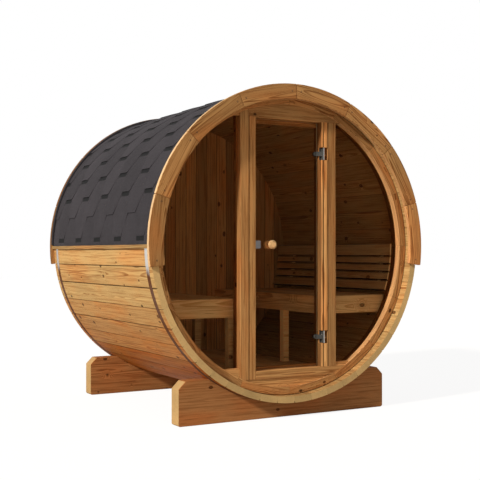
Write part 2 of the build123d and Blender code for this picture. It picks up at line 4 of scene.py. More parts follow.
import bmesh
import bpy
from bpy.props import FloatProperty, FloatVectorProperty, IntProperty, PointerProperty
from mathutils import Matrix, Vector


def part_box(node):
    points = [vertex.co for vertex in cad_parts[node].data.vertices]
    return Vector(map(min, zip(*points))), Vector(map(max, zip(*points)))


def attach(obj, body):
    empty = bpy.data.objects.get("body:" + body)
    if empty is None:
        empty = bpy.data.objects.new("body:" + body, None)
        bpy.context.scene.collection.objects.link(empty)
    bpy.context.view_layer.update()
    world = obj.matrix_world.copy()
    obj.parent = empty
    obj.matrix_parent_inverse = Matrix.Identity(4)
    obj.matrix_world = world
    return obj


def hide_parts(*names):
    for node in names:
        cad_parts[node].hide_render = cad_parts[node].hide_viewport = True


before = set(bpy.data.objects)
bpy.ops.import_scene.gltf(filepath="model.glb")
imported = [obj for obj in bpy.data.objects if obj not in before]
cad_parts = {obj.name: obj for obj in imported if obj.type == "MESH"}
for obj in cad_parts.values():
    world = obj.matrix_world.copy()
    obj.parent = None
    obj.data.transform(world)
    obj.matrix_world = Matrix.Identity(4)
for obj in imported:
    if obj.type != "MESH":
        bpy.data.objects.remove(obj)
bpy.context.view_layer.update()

bl_info = {
    "name": "Barrel sauna dressing",
    "version": (1, 0, 0),
    "blender": (4, 5, 0),
    "location": "3D View > Sidebar > Sauna",
    "description": "Boards, tiles, glass and fittings of a barrel sauna, built on its packed frame",
    "category": "Object",
}

# --- Places read from the frame -------------------------------------------------------

AXES = (Vector((1, 0, 0)), Vector((0, 1, 0)), Vector((0, 0, 1)))


def limits(points):
    """Lowest and highest corner of a list of points."""
    return [Vector(pick(point[i] for point in points) for i in range(3)) for pick in (min, max)]


def span(*nodes):
    """Lowest and highest corner of several nodes together."""
    return limits([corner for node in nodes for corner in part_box(node)])


SEGMENTS = sorted(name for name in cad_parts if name.startswith("shell_segment_"))
shell_low, shell_high = span(*SEGMENTS)
BARREL_RADIUS = (shell_high.x - shell_low.x) / 2
AXIS_HEIGHT = (shell_high.z + shell_low.z) / 2
roof_low, roof_high = span("left_roofing", "right_roofing")
ROOF_RADIUS = (roof_high.x - roof_low.x) / 2


def outward(place):
    """Unit vector from the barrel's axis towards a place, square to the axis."""
    return Vector((place.x, 0, place.z - AXIS_HEIGHT)).normalized()


def round_axis(radius, turn, y, side=1):
    """The point at a radius and an angle about the barrel's axis. Side -1 counts the angle from the left."""
    return Vector((side * radius * math.cos(turn), y, AXIS_HEIGHT + radius * math.sin(turn)))


# --- Sizes and colours that a user may change -----------------------------------------


def length(name, description, default):
    return FloatProperty(
        name=name, description=description, default=default, subtype="DISTANCE", unit="LENGTH"
    )


def angle(name, description, degrees):
    return FloatProperty(
        name=name, description=description, default=math.radians(degrees), subtype="ANGLE", unit="ROTATION"
    )


def colour(name, description, default):
    return FloatVectorProperty(
        name=name, description=description, default=default, subtype="COLOR", size=3, min=0.0, max=1.0
    )


def level(name, description, default):
    return FloatProperty(name=name, description=description, default=default, min=0.0)


class SaunaSizes(bpy.types.PropertyGroup):
    """Sizes of the dressing that the frame leaves open."""

    stave_thickness: length("Stave thickness", "Thickness of the barrel's staves", 0.042)
    stave_arris: length("Stave arris", "Width of the chamfer on each long edge of a stave", 0.002)
    stave_joint: length("Stave joint", "Widest shadow joint between two staves", 0.0045)
    stave_joint_depth: length("Stave joint depth", "Depth of the shadow joint", 0.009)
    stave_count: IntProperty(name="Staves", description="Staves round the barrel", default=48, min=12)
    rear_boards: IntProperty(name="Rear boards", description="Boards in the rear wall", default=21, min=1)
    cradle_arris: length("Cradle arris", "Chamfer on the cradles' edges", 0.003)
    slat_arris: length("Slat arris", "Eased edge of a backrest slat", 0.0038)
    post_arris: length("Post arris", "Eased edge of the posts and jambs", 0.003)
    # The ring's eased outer edge carries a painted shadow line beside the staves.
    ring_arris: length("Ring arris", "Eased outer edge of the front ring, beside the staves", 0.005)
    tile_exposure: angle("Tile exposure", "Angle from one course of roof tiles to the next", 8.3)
    tile_pitch: length("Tile pitch", "Distance between tabs along a course", 0.3525)
    tile_tab: length("Tab foot", "Width of a tab's straight foot", 0.115)
    tile_first: length("First tab", "From the roof's front edge to the middle of the first tab", 0.14)
    tile_thickness: length("Tile thickness", "Thickness of one bitumen tile", 0.0028)
    tile_build_up: length("Tile build-up", "How far a tile's foot stands over its head", 0.0068)
    shadow_band: level("Shadow band", "Dark band under each tab, as a share of the exposure", 0.2)
    starter: angle("Starter strip", "Angle from the eave to the first row of tabs", 3.0)
    seal_bead: length("Seal bead", "Bitumen bead between the roof's edge and the fascia", 0.0125)
    cap_width: length("Ridge cap width", "Half width of the ridge caps", 0.13)
    hinge_barrel: length("Hinge barrel", "Width of the bright barrel of a hinge", 0.0165)
    screw_radius: length("Screw radius", "Radius of the fascia's screw heads", 0.006)
    screw_inset: length("Screw inset", "From a joint of the fascia to its screws", 0.034)


class SaunaFinish(bpy.types.PropertyGroup):
    """Colours of the sauna's finishes, and how strongly it is lit."""

    stave_light: colour("Stave early wood", "Pale wood of the staves", (0.54, 0.342, 0.134))
    stave_dark: colour("Stave late wood", "Dark growth rings of the staves", (0.264, 0.12, 0.034))
    frame_light: colour("Frame early wood", "Pale wood of the front frame", (0.54, 0.278, 0.098))
    frame_dark: colour("Frame late wood", "Dark growth rings of the front frame", (0.204, 0.072, 0.017))
    cradle_light: colour("Cradle early wood", "Pale wood of the cradles", (0.492, 0.216, 0.076))
    cradle_dark: colour("Cradle late wood", "Dark growth rings of the cradles", (0.204, 0.072, 0.019))
    inner_light: colour("Bench early wood", "Pale wood of benches and floor", (0.768, 0.564, 0.282))
    inner_dark: colour("Bench late wood", "Dark growth rings of benches and floor", (0.48, 0.276, 0.108))
    wall_light: colour("Wall early wood", "Pale wood of the rear wall", (0.74, 0.43, 0.165))
    wall_dark: colour("Wall late wood", "Dark growth rings of the rear wall", (0.33, 0.135, 0.042))
    cut_wood: colour("Cut wood", "Sawn ends of the cradles and staves", (0.504, 0.33, 0.138))
    rim_wood: colour("Rim wood", "Sawn rims of the curved boards", (0.72, 0.492, 0.264))
    knob_light: colour("Knob early wood", "Pale wood of the door knob", (0.864, 0.552, 0.252))
    knob_dark: colour("Knob late wood", "Dark growth rings of the door knob", (0.54, 0.288, 0.12))
    tile_grit: colour("Tile granules", "Mineral granules on the roof tiles", (0.032, 0.028, 0.031))
    tile_edge: colour("Tile bitumen", "Cut edges of the roof tiles", (0.006, 0.006, 0.006))
    steel: colour("Steel", "Bands and hinges", (0.66, 0.63, 0.59))
    # The brown of the bands' lower part is painted shade, for the dark ground that the lower band reflects.
    band_painted_shade: colour("Band stain", "Brown film on the steel bands", (0.1, 0.034, 0.012))
    clamp: colour("Clamps", "Shadowed steel of the hinge arms", (0.045, 0.045, 0.042))
    catch: colour("Catch", "Dulled steel of the catch plate", (0.17, 0.155, 0.15))
    screw: colour("Screws", "Dulled steel of the screws", (0.1, 0.06, 0.035))
    glass_tint: colour("Glass tint", "What one face of the glass lets through", (0.945, 0.882, 0.815))
    vent_plastic: colour("Vent plastic", "Moulded plastic of the rear vent", (0.036, 0.036, 0.037))
    ground: colour("Floor", "Pale floor of the stage", (0.6, 0.56, 0.5))
    sun_level: level("Sun level", "Strength of the main lamp", 3.8)
    sky_level: level("Sky level", "Strength of the even light", 0.34)


def sizes():
    return bpy.context.scene.sauna_sizes


def finish():
    return bpy.context.scene.sauna_finish


# --- Shader arithmetic ----------------------------------------------------------------


class Wire:
    """One shader socket, used in ordinary sums: each operator adds the Math node for it."""

    def __init__(self, coat, socket):
        self.coat = coat
        self.socket = socket

    def sum(self, operation, *values):
        return self.coat.node("ShaderNodeMath", {"operation": operation}, dict(enumerate(values)))

    def __add__(self, other):
        return self.sum("ADD", self, other)

    __radd__ = __add__

    def __sub__(self, other):
        return self.sum("SUBTRACT", self, other)

    def __rsub__(self, other):
        return self.sum("SUBTRACT", other, self)

    def __mul__(self, other):
        return self.sum("MULTIPLY", self, other)

    __rmul__ = __mul__

    def __truediv__(self, other):
        return self.sum("DIVIDE", self, other)

    def __rtruediv__(self, other):
        return self.sum("DIVIDE", other, self)

    def root(self):
        return self.sum("SQRT", self)

    def fraction(self):
        return self.sum("FRACT", self)

    def at_least(self, other):
        return self.sum("MAXIMUM", self, other)

    def at_most(self, other):
        return self.sum("MINIMUM", self, other)

    def ease(self, start, stop):
        """0 before start, 1 after stop, and a smooth step between them."""
        return self.coat.node(
            "ShaderNodeMapRange",
            {"interpolation_type": "SMOOTHSTEP"},
            {"Value": self, "From Min": start, "From Max": stop},
        )

    def beside(self, key):
        """Another output of the same node."""
        return Wire(self.coat, self.coat.find(self.socket.node.outputs, key))


class Coat:
    """The node tree of one finish, or of the sky."""

    def __init__(self, owner):
        self.owner = owner
        owner.use_nodes = True
        self.tree = owner.node_tree
        self.tree.nodes.clear()

    def node(self, kind, settings=None, values=None, out=0):
        """Adds a node: its settings first, then the values or wires of its sockets."""
        made_node = self.tree.nodes.new(kind)
        for key, value in (settings or {}).items():
            setattr(made_node, key, value)
        for key, value in (values or {}).items():
            socket = self.find(made_node.inputs, key)
            if isinstance(value, Wire):
                self.tree.links.new(value.socket, socket)
            elif socket.type == "RGBA" and len(value) == 3:
                socket.default_value = (*value, 1.0)
            else:
                socket.default_value = value
        return Wire(self, self.find(made_node.outputs, out)) if len(made_node.outputs) else None

    @staticmethod
    def find(sockets, key):
        """The socket at a place, or of a name or identifier."""
        if isinstance(key, int):
            return sockets[key]
        return next(socket for socket in sockets if key in (socket.identifier, socket.name))

    def attribute(self, name, out="Fac"):
        return self.node("ShaderNodeAttribute", {"attribute_name": name}, out=out)

    def split(self, vector):
        x = self.node("ShaderNodeSeparateXYZ", None, {"Vector": vector})
        return x, x.beside(1), x.beside(2)

    def join(self, x, y, z):
        return self.node("ShaderNodeCombineXYZ", None, {"X": x, "Y": y, "Z": z})

    def stretch(self, vector, by):
        return self.node("ShaderNodeVectorMath", {"operation": "MULTIPLY"}, {0: vector, 1: by})

    def noise(self, vector, scale=1.0, detail=2.0, roughness=0.5):
        values = {"Vector": vector, "Scale": scale, "Detail": detail, "Roughness": roughness}
        return self.node("ShaderNodeTexNoise", None, values, out="Fac")

    def mix(self, share, first, second, blend="MIX"):
        return self.node(
            "ShaderNodeMix",
            {"data_type": "RGBA", "blend_type": blend},
            {"Factor_Float": share, "A_Color": first, "B_Color": second},
            out="Result_Color",
        )

    def lit(self, paint, strength):
        """A colour multiplied by a strength, which turns it paler or darker."""
        return self.mix(1.0, paint, self.join(strength, strength, strength), "MULTIPLY")

    def bump(self, height, strength, distance):
        values = {"Height": height, "Strength": strength, "Distance": distance}
        return self.node("ShaderNodeBump", None, values)

    def blend(self, share, first, second):
        """One shader under another, by a share."""
        return self.node("ShaderNodeMixShader", None, {0: share, 1: first, 2: second})

    def principled(self, **values):
        named = {key.replace("_", " "): value for key, value in values.items()}
        return self.show(self.node("ShaderNodeBsdfPrincipled", None, named))

    def seen(self):
        """1 for what the eye sees straight, in a mirror or through glass, and 0 for light on the sauna."""
        path = self.node("ShaderNodeLightPath", out="Is Camera Ray")
        return path.at_least(path.beside("Is Glossy Ray")).at_least(path.beside("Is Transmission Ray"))

    def show(self, shader, output="ShaderNodeOutputMaterial"):
        """Ends the tree in that shader, and gives back the material or the world."""
        self.node(output, None, {"Surface": shader})
        return self.owner


# --- Finishes -------------------------------------------------------------------------

# Repeats of the timber's patterns per metre: along, across and into a board.
KNOT_CELLS = (4.0, 11.0, 3.0)
DRIFT = (0.9, 2.5, 2.5)
WAVER = (2.6, 22.0, 22.0)
STREAKS = (2.6, 85.0, 85.0)
FIBRES = (9.0, 420.0, 420.0)
CLOUDS = (2.2, 7.0, 7.0)
CHECKS = (5.5, 120.0, 120.0)
# A knot's make-up: how far it is squashed each way, and the least radius, which keeps sums finite.
KNOT_SQUASH = (0.65, 1.0, 0.08)
KNOT_LEAST = 0.0001
# How far the rings' radius drifts and wavers along a board, in metres, and the share of a knot's swerve.
DRIFT_BY, WAVER_BY, SWERVE_BY = 0.034, 0.004, 1.6
# Late wood within one ring: where it sets in, where it is darkest, and where it breaks off.
LATE_FROM, LATE_FULL, LATE_END = 0.35, 0.88, 0.93
# The darkness that streaks and bundles of rings add to the late wood, and what is taken off for the rest.
STREAK_DARK, BUNDLE_DARK, PALER = 0.6, 0.3, 0.12
# How strongly knots, their rims, checks and sawn ends cover the wood under them.
KNOT_COVER, RIM_COVER, CHECK_COVER, END_COVER = 0.9, 0.9, 0.6, 0.9
# Tints that multiply a timber's own colours: foxy wood, knots, their rims and checks, and joints and painted
# shade.
FOXY_TINT = (0.9, 0.43, 0.155)
KNOT_TINT = (0.55, 0.36, 0.26)
RIM_TINT = (0.2, 0.2, 0.2)
JOINT_AND_SHADE_TINT = (0.06, 0.06, 0.06)


def tinted(paint, tint):
    """A colour multiplied by a tint."""
    return [channel * share for channel, share in zip(paint, tint)]


def knot_marks(coat, grain, knots, knot_size):
    """The knots in some cells of the timber, their dark rims, and how far the rings swerve round them."""
    cells = coat.stretch(grain, KNOT_CELLS)
    centre = coat.node("ShaderNodeTexVoronoi", None, {"Vector": cells, "Scale": 1.0}, out="Position")
    luck = coat.split(centre.beside("Color"))[0]
    offset = coat.node("ShaderNodeVectorMath", {"operation": "SUBTRACT"}, {0: cells, 1: centre})
    metres = [squash / cell for squash, cell in zip(KNOT_SQUASH, KNOT_CELLS)]
    dx, dy, dz = coat.split(coat.stretch(offset, metres))
    radius = (luck - (1.0 - knots)).at_least(0.0) * knot_size / knots + KNOT_LEAST
    away = (dx * dx + dy * dy + dz * dz).root() / radius
    knot = 1.0 - away.ease(0.7, 1.1)
    rim = away.ease(0.6, 0.95) * (1.0 - away.ease(1.0, 1.7))
    swerve = (1.0 - away.ease(0.5, 4.5)) * radius
    return knot, rim, swerve


def growth_rings(coat, grain, tone, swerve, ring):
    """The late wood of the growth rings about a board's heart line, and bundles of darker rings."""
    along, across, deep = coat.split(grain)
    drift = coat.noise(coat.stretch(grain, DRIFT), detail=1.0)
    waver = coat.noise(coat.stretch(grain, WAVER))
    heart = (across * across + deep * deep).root()
    radius = heart + drift * DRIFT_BY + waver * WAVER_BY + swerve * SWERVE_BY
    breadth = coat.noise(coat.join(radius * 55.0, tone * 30.0, 0.0), detail=1.0)
    phase = (radius / ring + breadth * 1.2).fraction()
    late = phase.ease(LATE_FROM, LATE_FULL) * (1.0 - phase.ease(LATE_END, 1.0))
    bundle = coat.noise(coat.join(radius * 90.0, tone * 50.0 + along * 0.2, 3.0), detail=1.5)
    return late, bundle


def timber(
    name, light, dark, cut, knots, ring=0.0034, contrast=0.75, knot_size=0.012, variety=0.45, end_gain=1.15
):
    """Sawn softwood: growth rings about each board's own heart line, streaks, knots and end grain.

    The end attribute is how much sawn wood a face shows. Below nothing the face is dark, as are joints and
    faces with painted shade."""
    coat = Coat(bpy.data.materials.new(name))
    grain = coat.attribute("grain", "Vector")
    tone, end, warmth = [coat.attribute(layer) for layer in ("tone", "end", "warmth")]
    knot, knot_rim, swerve = knot_marks(coat, grain, knots, knot_size)
    late, bundle = growth_rings(coat, grain, tone, swerve, ring)
    streak = coat.noise(coat.stretch(grain, STREAKS), detail=4.0, roughness=0.68)
    fibre = coat.noise(coat.stretch(grain, FIBRES), roughness=0.6)
    cloud = coat.noise(coat.stretch(grain, CLOUDS), detail=2.5)
    check = coat.noise(coat.stretch(grain, CHECKS)).ease(0.68, 0.75)

    streaks, bundles = streak.ease(0.42, 0.66) * STREAK_DARK, bundle.ease(0.5, 0.75) * BUNDLE_DARK
    depth = late * contrast + streaks + bundles - PALER
    planed = coat.mix(depth.at_least(0.0).at_most(1.0), light, dark)
    foxy = coat.mix(1.0, planed, FOXY_TINT, "MULTIPLY")
    warm = coat.mix((cloud.ease(0.38, 0.72) * 0.4 + warmth).at_least(0.0).at_most(1.0), planed, foxy)
    strength = 1.0 - variety * 0.5 + tone * variety + (fibre - 0.5) * 0.2 + (cloud - 0.5) * 0.5
    knotted = coat.mix(knot * KNOT_COVER, coat.lit(warm, strength), tinted(dark, KNOT_TINT))
    cover = (knot_rim * RIM_COVER + check * CHECK_COVER).at_most(1.0)
    checked = coat.mix(cover, knotted, tinted(dark, RIM_TINT))
    pale = [min(1.0, channel * end_gain) for channel in cut]
    end_grain = coat.mix(late * 0.2 + streak.ease(0.3, 0.8) * 0.15, pale, dark)
    sawn_too = coat.mix(end * END_COVER, checked, coat.lit(end_grain, strength))
    relief = fibre * 0.3 + late * 0.5 - check * 1.5 - knot_rim * 0.8
    return coat.principled(
        Base_Color=coat.mix(0.0 - end, sawn_too, tinted(dark, JOINT_AND_SHADE_TINT)),
        Roughness=0.68 + (streak - 0.5) * 0.16 - late * 0.07,
        Specular_IOR_Level=0.06,
        Normal=coat.bump(relief, 0.35, 0.0006),
    )


def bitumen(name):
    """Roof tile: mineral granules on black bitumen, which shows where "end" says."""
    coat = Coat(bpy.data.materials.new(name))
    grain = coat.attribute("grain", "Vector")
    grit = coat.noise(grain, 420.0, 3.0, 0.75)
    spots = coat.node("ShaderNodeTexVoronoi", None, {"Vector": grain, "Scale": 330.0}, out="Color")
    speck = coat.split(spots)[0]
    cloud = coat.noise(grain, 7.0, 3.0)
    tone = coat.attribute("tone")
    strength = 0.55 + speck * 0.75 + (grit - 0.5) * 0.8 + (cloud - 0.5) * 0.4 + tone * 0.3
    granules = coat.lit(finish().tile_grit[:], strength)
    return coat.principled(
        Base_Color=coat.mix(coat.attribute("end"), granules, finish().tile_edge[:]),
        Roughness=0.93 - grit * 0.08,
        Specular_IOR_Level=0.16,
        Normal=coat.bump(grit + speck * 0.6, 0.6, 0.0012),
    )


def brushed_steel(name, tint, roughness, stain=None, stain_axis=2, stain_top=0.0, stain_fade=0.12):
    """Brushed steel with faint scratches. A painted shade, a dark colour without metal, covers what lies
    below a height along an axis.
    """
    coat = Coat(bpy.data.materials.new(name))
    place = coat.node("ShaderNodeTexCoord", out="Object")
    brush = coat.noise(coat.stretch(place, (60.0, 900.0, 60.0)))
    smear = coat.noise(place, 9.0, 4.0, 0.65)
    shown = coat.mix(smear.ease(0.3, 0.8) * 0.4, tint, [channel * 0.72 for channel in tint])
    share = 0.0
    if stain:
        blotches = coat.noise(coat.stretch(place, (4.0, 14.0, 7.0)), 1.0, 4.0, 0.7)
        edge = coat.split(place)[stain_axis] + (blotches - 0.5) * stain_fade
        run = 1.0 - edge.ease(stain_top - stain_fade / 3, stain_top + stain_fade / 3)
        share = run * (0.93 + blotches.ease(0.3, 0.6) * 0.07)
        shown = coat.mix(share, shown, stain)
    return coat.principled(
        Base_Color=shown,
        Metallic=1.0 - share,
        Roughness=roughness + (brush - 0.5) * 0.2 + share * 0.4,
        Specular_IOR_Level=0.08,
        Normal=coat.bump(brush, 0.12, 0.0003),
    )


def tinted_glass(name):
    """Bronze glass: a tinted see-through body under a thin mirror that grows at grazing angles."""
    coat = Coat(bpy.data.materials.new(name))
    smear = coat.noise(coat.attribute("grain", "Vector"), 3.0, 3.0)
    clear = coat.node("ShaderNodeBsdfTransparent", None, {"Color": finish().glass_tint[:]})
    gloss = {"Color": (1.0, 0.6, 0.3), "Roughness": smear * 0.03 + 0.01}
    mirror = coat.node("ShaderNodeBsdfGlossy", None, gloss)
    sheet = coat.blend(coat.node("ShaderNodeFresnel", None, {"IOR": 1.1}), clear, mirror)
    ground_edge = coat.mix(smear, (0.5, 0.42, 0.3), (0.38, 0.34, 0.26))
    matte = {"Base Color": ground_edge, "Roughness": smear * 0.2 + 0.15}
    rim = coat.node("ShaderNodeBsdfPrincipled", None, matte)
    return coat.show(coat.blend(coat.attribute("end"), sheet, rim))


def moulded_plastic(name):
    """Moulded plastic with a fine spark-eroded texture and a little dust."""
    coat = Coat(bpy.data.materials.new(name))
    place = coat.node("ShaderNodeTexCoord", out="Object")
    pebble = coat.noise(place, 700.0)
    dust = coat.noise(place, 30.0, 3.0).ease(0.5, 0.8) * 0.25
    return coat.principled(
        Base_Color=coat.mix(dust, finish().vent_plastic[:], (0.09, 0.085, 0.08)),
        Roughness=0.5 + (pebble - 0.5) * 0.3,
        Normal=coat.bump(pebble, 0.3, 0.0003),
    )


def made(name, maker, *colours, **look):
    """The finish of that name, made the first time it is asked for."""
    title = f"{name}_finish"
    return bpy.data.materials.get(title) or maker(title, *colours, **look)


# What sets each timber apart. "cut" names the colour of its sawn wood, where that isn't its pale wood.
TIMBERS = {
    "stave": {"knots": 0.85, "knot_size": 0.01, "cut": "cut_wood", "end_gain": 1.2},
    "frame": {"knots": 0.7, "knot_size": 0.0085, "cut": "rim_wood"},
    "cradle": {"knots": 0.8, "knot_size": 0.009, "ring": 0.0045, "cut": "cut_wood", "end_gain": 1.0},
    "inner": {"knots": 0.5},
    "wall": {"knots": 0.42, "knot_size": 0.011, "contrast": 0.6, "variety": 0.6},
    "knob": {"knots": 0.01, "ring": 0.002},
}


def wood(kind):
    """The finish of one of the timbers."""
    look = dict(TIMBERS[kind])
    names = (f"{kind}_light", f"{kind}_dark", look.pop("cut", f"{kind}_light"))
    return made(f"{kind}_wood", timber, *(getattr(finish(), name)[:] for name in names), **look)


# --- Joinery --------------------------------------------------------------------------

# Cosine of the turn up to which two faces are shaded as one round.
ROUND_UNDER = math.cos(math.radians(52))
# Edges that turn by more than this are eased.
SHARP = math.radians(40)
# Faces of a frame node and of a board that differ by less than these are joined up.
LEVEL_CAD = math.radians(0.6)
LEVEL_BOARD = math.radians(0.05)
# Points of a frame node that lie this close are one.
WELD = 2e-5
# Where heart lines lie beside and behind a board's face, and the length of timber that boards come from.
HEART_BESIDE = 0.04
HEART_BEHIND = (0.012, 0.09)
TIMBER_RUN = 60.0


def of_face(value, face):
    """A value that is either given or worked out from the face."""
    return value(face) if callable(value) else value


class Joinery:
    """Boards gathered into one piece. Each carries its own stretch of timber and its own tone."""

    def __init__(self, name, seed):
        self.name = name
        self.luck = random.Random(seed)
        self.points = []
        self.faces = []
        self.grain = []
        self.tone = []
        self.warmth = []
        self.end = []

    def gather(self, shape):
        """Takes in a shape's points and faces."""
        base = len(self.points)
        shape.verts.index_update()
        shape.normal_update()
        self.points += [vertex.co.copy() for vertex in shape.verts]
        self.faces += [[base + vertex.index for vertex in face.verts] for face in shape.faces]

    def draw_stock(self):
        """Draws a board's heart line, its place along the timber and its tone."""
        beside = self.luck.gauss(0.0, HEART_BESIDE)
        behind = self.luck.choice((-1, 1)) * self.luck.uniform(*HEART_BEHIND)
        return (beside, behind), self.luck.uniform(0.0, TIMBER_RUN), self.luck.random()

    def board(self, shape, origin, along, across, tone=None, warmth=0.0, strips=None, cut=None):
        """Adds a shape as one board. along is the way its fibres run, across the width of its face.

        tone, warmth and cut may each be a function of a face. Without a tone the board has the one
        that it draws, and without a cut only its ends show sawn wood. strips, as (direction, start,
        width), makes each strip of the shape a board of its own."""
        along, across = Vector(along).normalized(), Vector(across).normalized()
        deep = along.cross(across)
        numbers = [0] * len(shape.faces)
        if strips:
            direction, start, width = strips
            middles = [face.calc_center_median().dot(direction) for face in shape.faces]
            numbers = [math.floor((middle - start) / width) for middle in middles]
        stock = {number: self.draw_stock() for number in sorted(set(numbers))}
        self.gather(shape)
        for number, face in zip(numbers, shape.faces):
            heart, run, own_tone = stock[number]
            self.tone.append(own_tone if tone is None else of_face(tone, face))
            self.warmth.append(of_face(warmth, face))
            at_end = 1.0 if abs(face.normal.dot(along)) > 0.7 else 0.0
            self.end.append(cut(face) if cut else at_end)
            for vertex in face.verts:
                local = vertex.co - origin
                self.grain.append(
                    (local.dot(along) + run, local.dot(across) + heart[0], local.dot(deep) + heart[1])
                )
        shape.free()

    def tile(self, shape, tone, dark=()):
        """Adds a roof tile. Its granules go by place, and its edges and the faces in dark show bitumen."""
        self.gather(shape)
        for face in shape.faces:
            self.tone.append(tone)
            self.warmth.append(0.0)
            upright = abs(face.normal.dot(outward(face.calc_center_median()))) < 0.5
            self.end.append(0.4 if upright else 0.95 if face in dark else 0.0)
            self.grain += [tuple(vertex.co) for vertex in face.verts]
        shape.free()

    def piece(self, material, slot, *nodes, body="sauna"):
        """Turns what was gathered into one object that stands for those nodes."""
        mesh = bpy.data.meshes.new(self.name)
        mesh.from_pydata(self.points, [], self.faces)
        for name, kind, domain, field, values in (
            ("grain", "FLOAT_VECTOR", "CORNER", "vector", [part for place in self.grain for part in place]),
            ("tone", "FLOAT", "FACE", "value", self.tone),
            ("warmth", "FLOAT", "FACE", "value", self.warmth),
            ("end", "FLOAT", "FACE", "value", self.end),
        ):
            mesh.attributes.new(name, kind, domain).data.foreach_set(field, values)
        mesh.shade_smooth()
        mesh.normals_split_custom_set(rounded_normals(mesh))
        piece = bpy.data.objects.new(self.name, mesh)
        bpy.context.scene.collection.objects.link(piece)
        mesh.materials.append(material)
        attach(piece, body)
        if nodes:
            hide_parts(*nodes)
        return piece


def rounded_normals(mesh):
    """Corner normals that keep broad faces flat and let the narrow arris faces turn between them."""
    around = [[] for _ in mesh.vertices]
    for face in mesh.polygons:
        for vertex in face.vertices:
            around[vertex].append((face.normal.copy(), face.area))
    normals = []
    for face in mesh.polygons:
        for vertex in face.vertices:
            total = Vector((0, 0, 0))
            for normal, area in around[vertex]:
                if normal.dot(face.normal) > ROUND_UNDER:
                    total += normal * area
            normals.append(total.normalized() if total.length > 0 else face.normal)
    return normals


def ease_edges(shape, arris, shortest):
    """Chamfers the sharp edges of a shape that are longer than the shortest, if any is named."""
    bmesh.ops.dissolve_limit(shape, angle_limit=LEVEL_BOARD, verts=shape.verts[:], edges=shape.edges[:])
    sharp = [
        edge
        for edge in shape.edges
        if len(edge.link_faces) == 2 and edge.calc_face_angle(0.0) > SHARP and edge.calc_length() > shortest
    ]
    bmesh.ops.bevel(
        shape, geom=sharp, offset=arris, segments=1, profile=0.6, affect="EDGES", clamp_overlap=not shortest
    )


def extrusion(outline, start, run):
    """An outline of points pushed along a run."""
    shape = bmesh.new()
    near = [shape.verts.new(start + point) for point in outline]
    far = [shape.verts.new(start + point + run) for point in outline]
    shape.faces.new(near)
    shape.faces.new(reversed(far))
    for i, point in enumerate(near):
        j = (i + 1) % len(near)
        shape.faces.new((near[j], point, far[i], far[j]))
    bmesh.ops.recalc_face_normals(shape, faces=shape.faces)
    return shape


def swept_arc(profile, start, stop, steps):
    """A profile of (radius, y) points swept about the barrel's axis from angle start to stop."""
    shape = bmesh.new()
    rings = []
    for k in range(steps + 1):
        turn = start + (stop - start) * k / steps
        rings.append([shape.verts.new(round_axis(radius, turn, y)) for radius, y in profile])
    for near, far in zip(rings, rings[1:]):
        for i in range(len(profile)):
            j = (i + 1) % len(profile)
            shape.faces.new((near[i], near[j], far[j], far[i]))
    shape.faces.new(rings[0])
    shape.faces.new(rings[-1])
    bmesh.ops.recalc_face_normals(shape, faces=shape.faces)
    return shape


def reach(shape):
    """Lowest and highest corner of a shape."""
    return limits([vertex.co for vertex in shape.verts])


def joined_to(start):
    """All the points that edges join to a point, itself among them."""
    group, waiting = set(), [start]
    while waiting:
        vertex = waiting.pop()
        if vertex not in group:
            group.add(vertex)
            waiting += [edge.other_vert(vertex) for edge in vertex.link_edges]
    return group


def solids(node):
    """The separate solids of a frame node, as shapes with flat faces joined up, in order of place."""
    whole = bmesh.new()
    whole.from_mesh(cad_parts[node].data)
    bmesh.ops.remove_doubles(whole, verts=whole.verts, dist=WELD)
    whole.verts.index_update()
    whole.faces.index_update()
    left, parts = set(whole.verts), []
    while left:
        group = joined_to(next(iter(left)))
        left -= group
        part = bmesh.new()
        twin = {vertex: part.verts.new(vertex.co) for vertex in sorted(group, key=lambda v: v.index)}
        touched = {face for vertex in group for face in vertex.link_faces}
        for face in sorted(touched, key=lambda f: f.index):
            part.faces.new([twin[vertex] for vertex in face.verts])
        bmesh.ops.dissolve_limit(
            part, angle_limit=LEVEL_CAD, verts=part.verts[:], edges=part.edges[:], delimit=set()
        )
        parts.append(part)
    whole.free()
    return sorted(parts, key=lambda part: [round(c, 4) for corner in reach(part) for c in corner])


def sawn(part, axis, place):
    """Saws a shape in two across an axis at a place on it."""
    halves = []
    for way in (-1, 1):
        half = part.copy()
        bmesh.ops.bisect_plane(
            half,
            geom=half.verts[:] + half.edges[:] + half.faces[:],
            plane_co=AXES[axis] * place,
            plane_no=AXES[axis] * way,
            clear_outer=True,
        )
        rims = [edge for edge in half.edges if len(edge.link_faces) == 1]
        bmesh.ops.holes_fill(half, edges=rims)
        bmesh.ops.recalc_face_normals(half, faces=half.faces)
        halves.append(half)
    part.free()
    return halves


def square_faces(part, axis):
    """The places along an axis where a shape has faces square to it, lowest first."""
    part.normal_update()
    return sorted({round(f.calc_center_median()[axis], 4) for f in part.faces if abs(f.normal[axis]) > 0.99})


def straight(joinery, node, arris=0.0, shortest=0.0, along=None, tone=None, cut=None, saw_axis=None):
    """Adds a node's solids as straight boards, their fibres along the axis named or the longest side.

    With saw_axis each solid is first sawn in two at its second face square to that axis."""
    shapes = solids(node)
    if saw_axis is not None:
        places = [square_faces(shape, saw_axis)[1] for shape in shapes]
        shapes = [half for shape, place in zip(shapes, places) for half in sawn(shape, saw_axis, place)]
    for part in shapes:
        low, high = reach(part)
        size = high - low
        order = sorted(range(3), key=lambda i: size[i])
        if along is not None:
            order = [i for i in order if i != along] + [along]
        if arris:
            ease_edges(part, arris, shortest)
        joinery.board(part, (low + high) / 2, AXES[order[2]], AXES[order[1]], tone=tone, cut=cut)


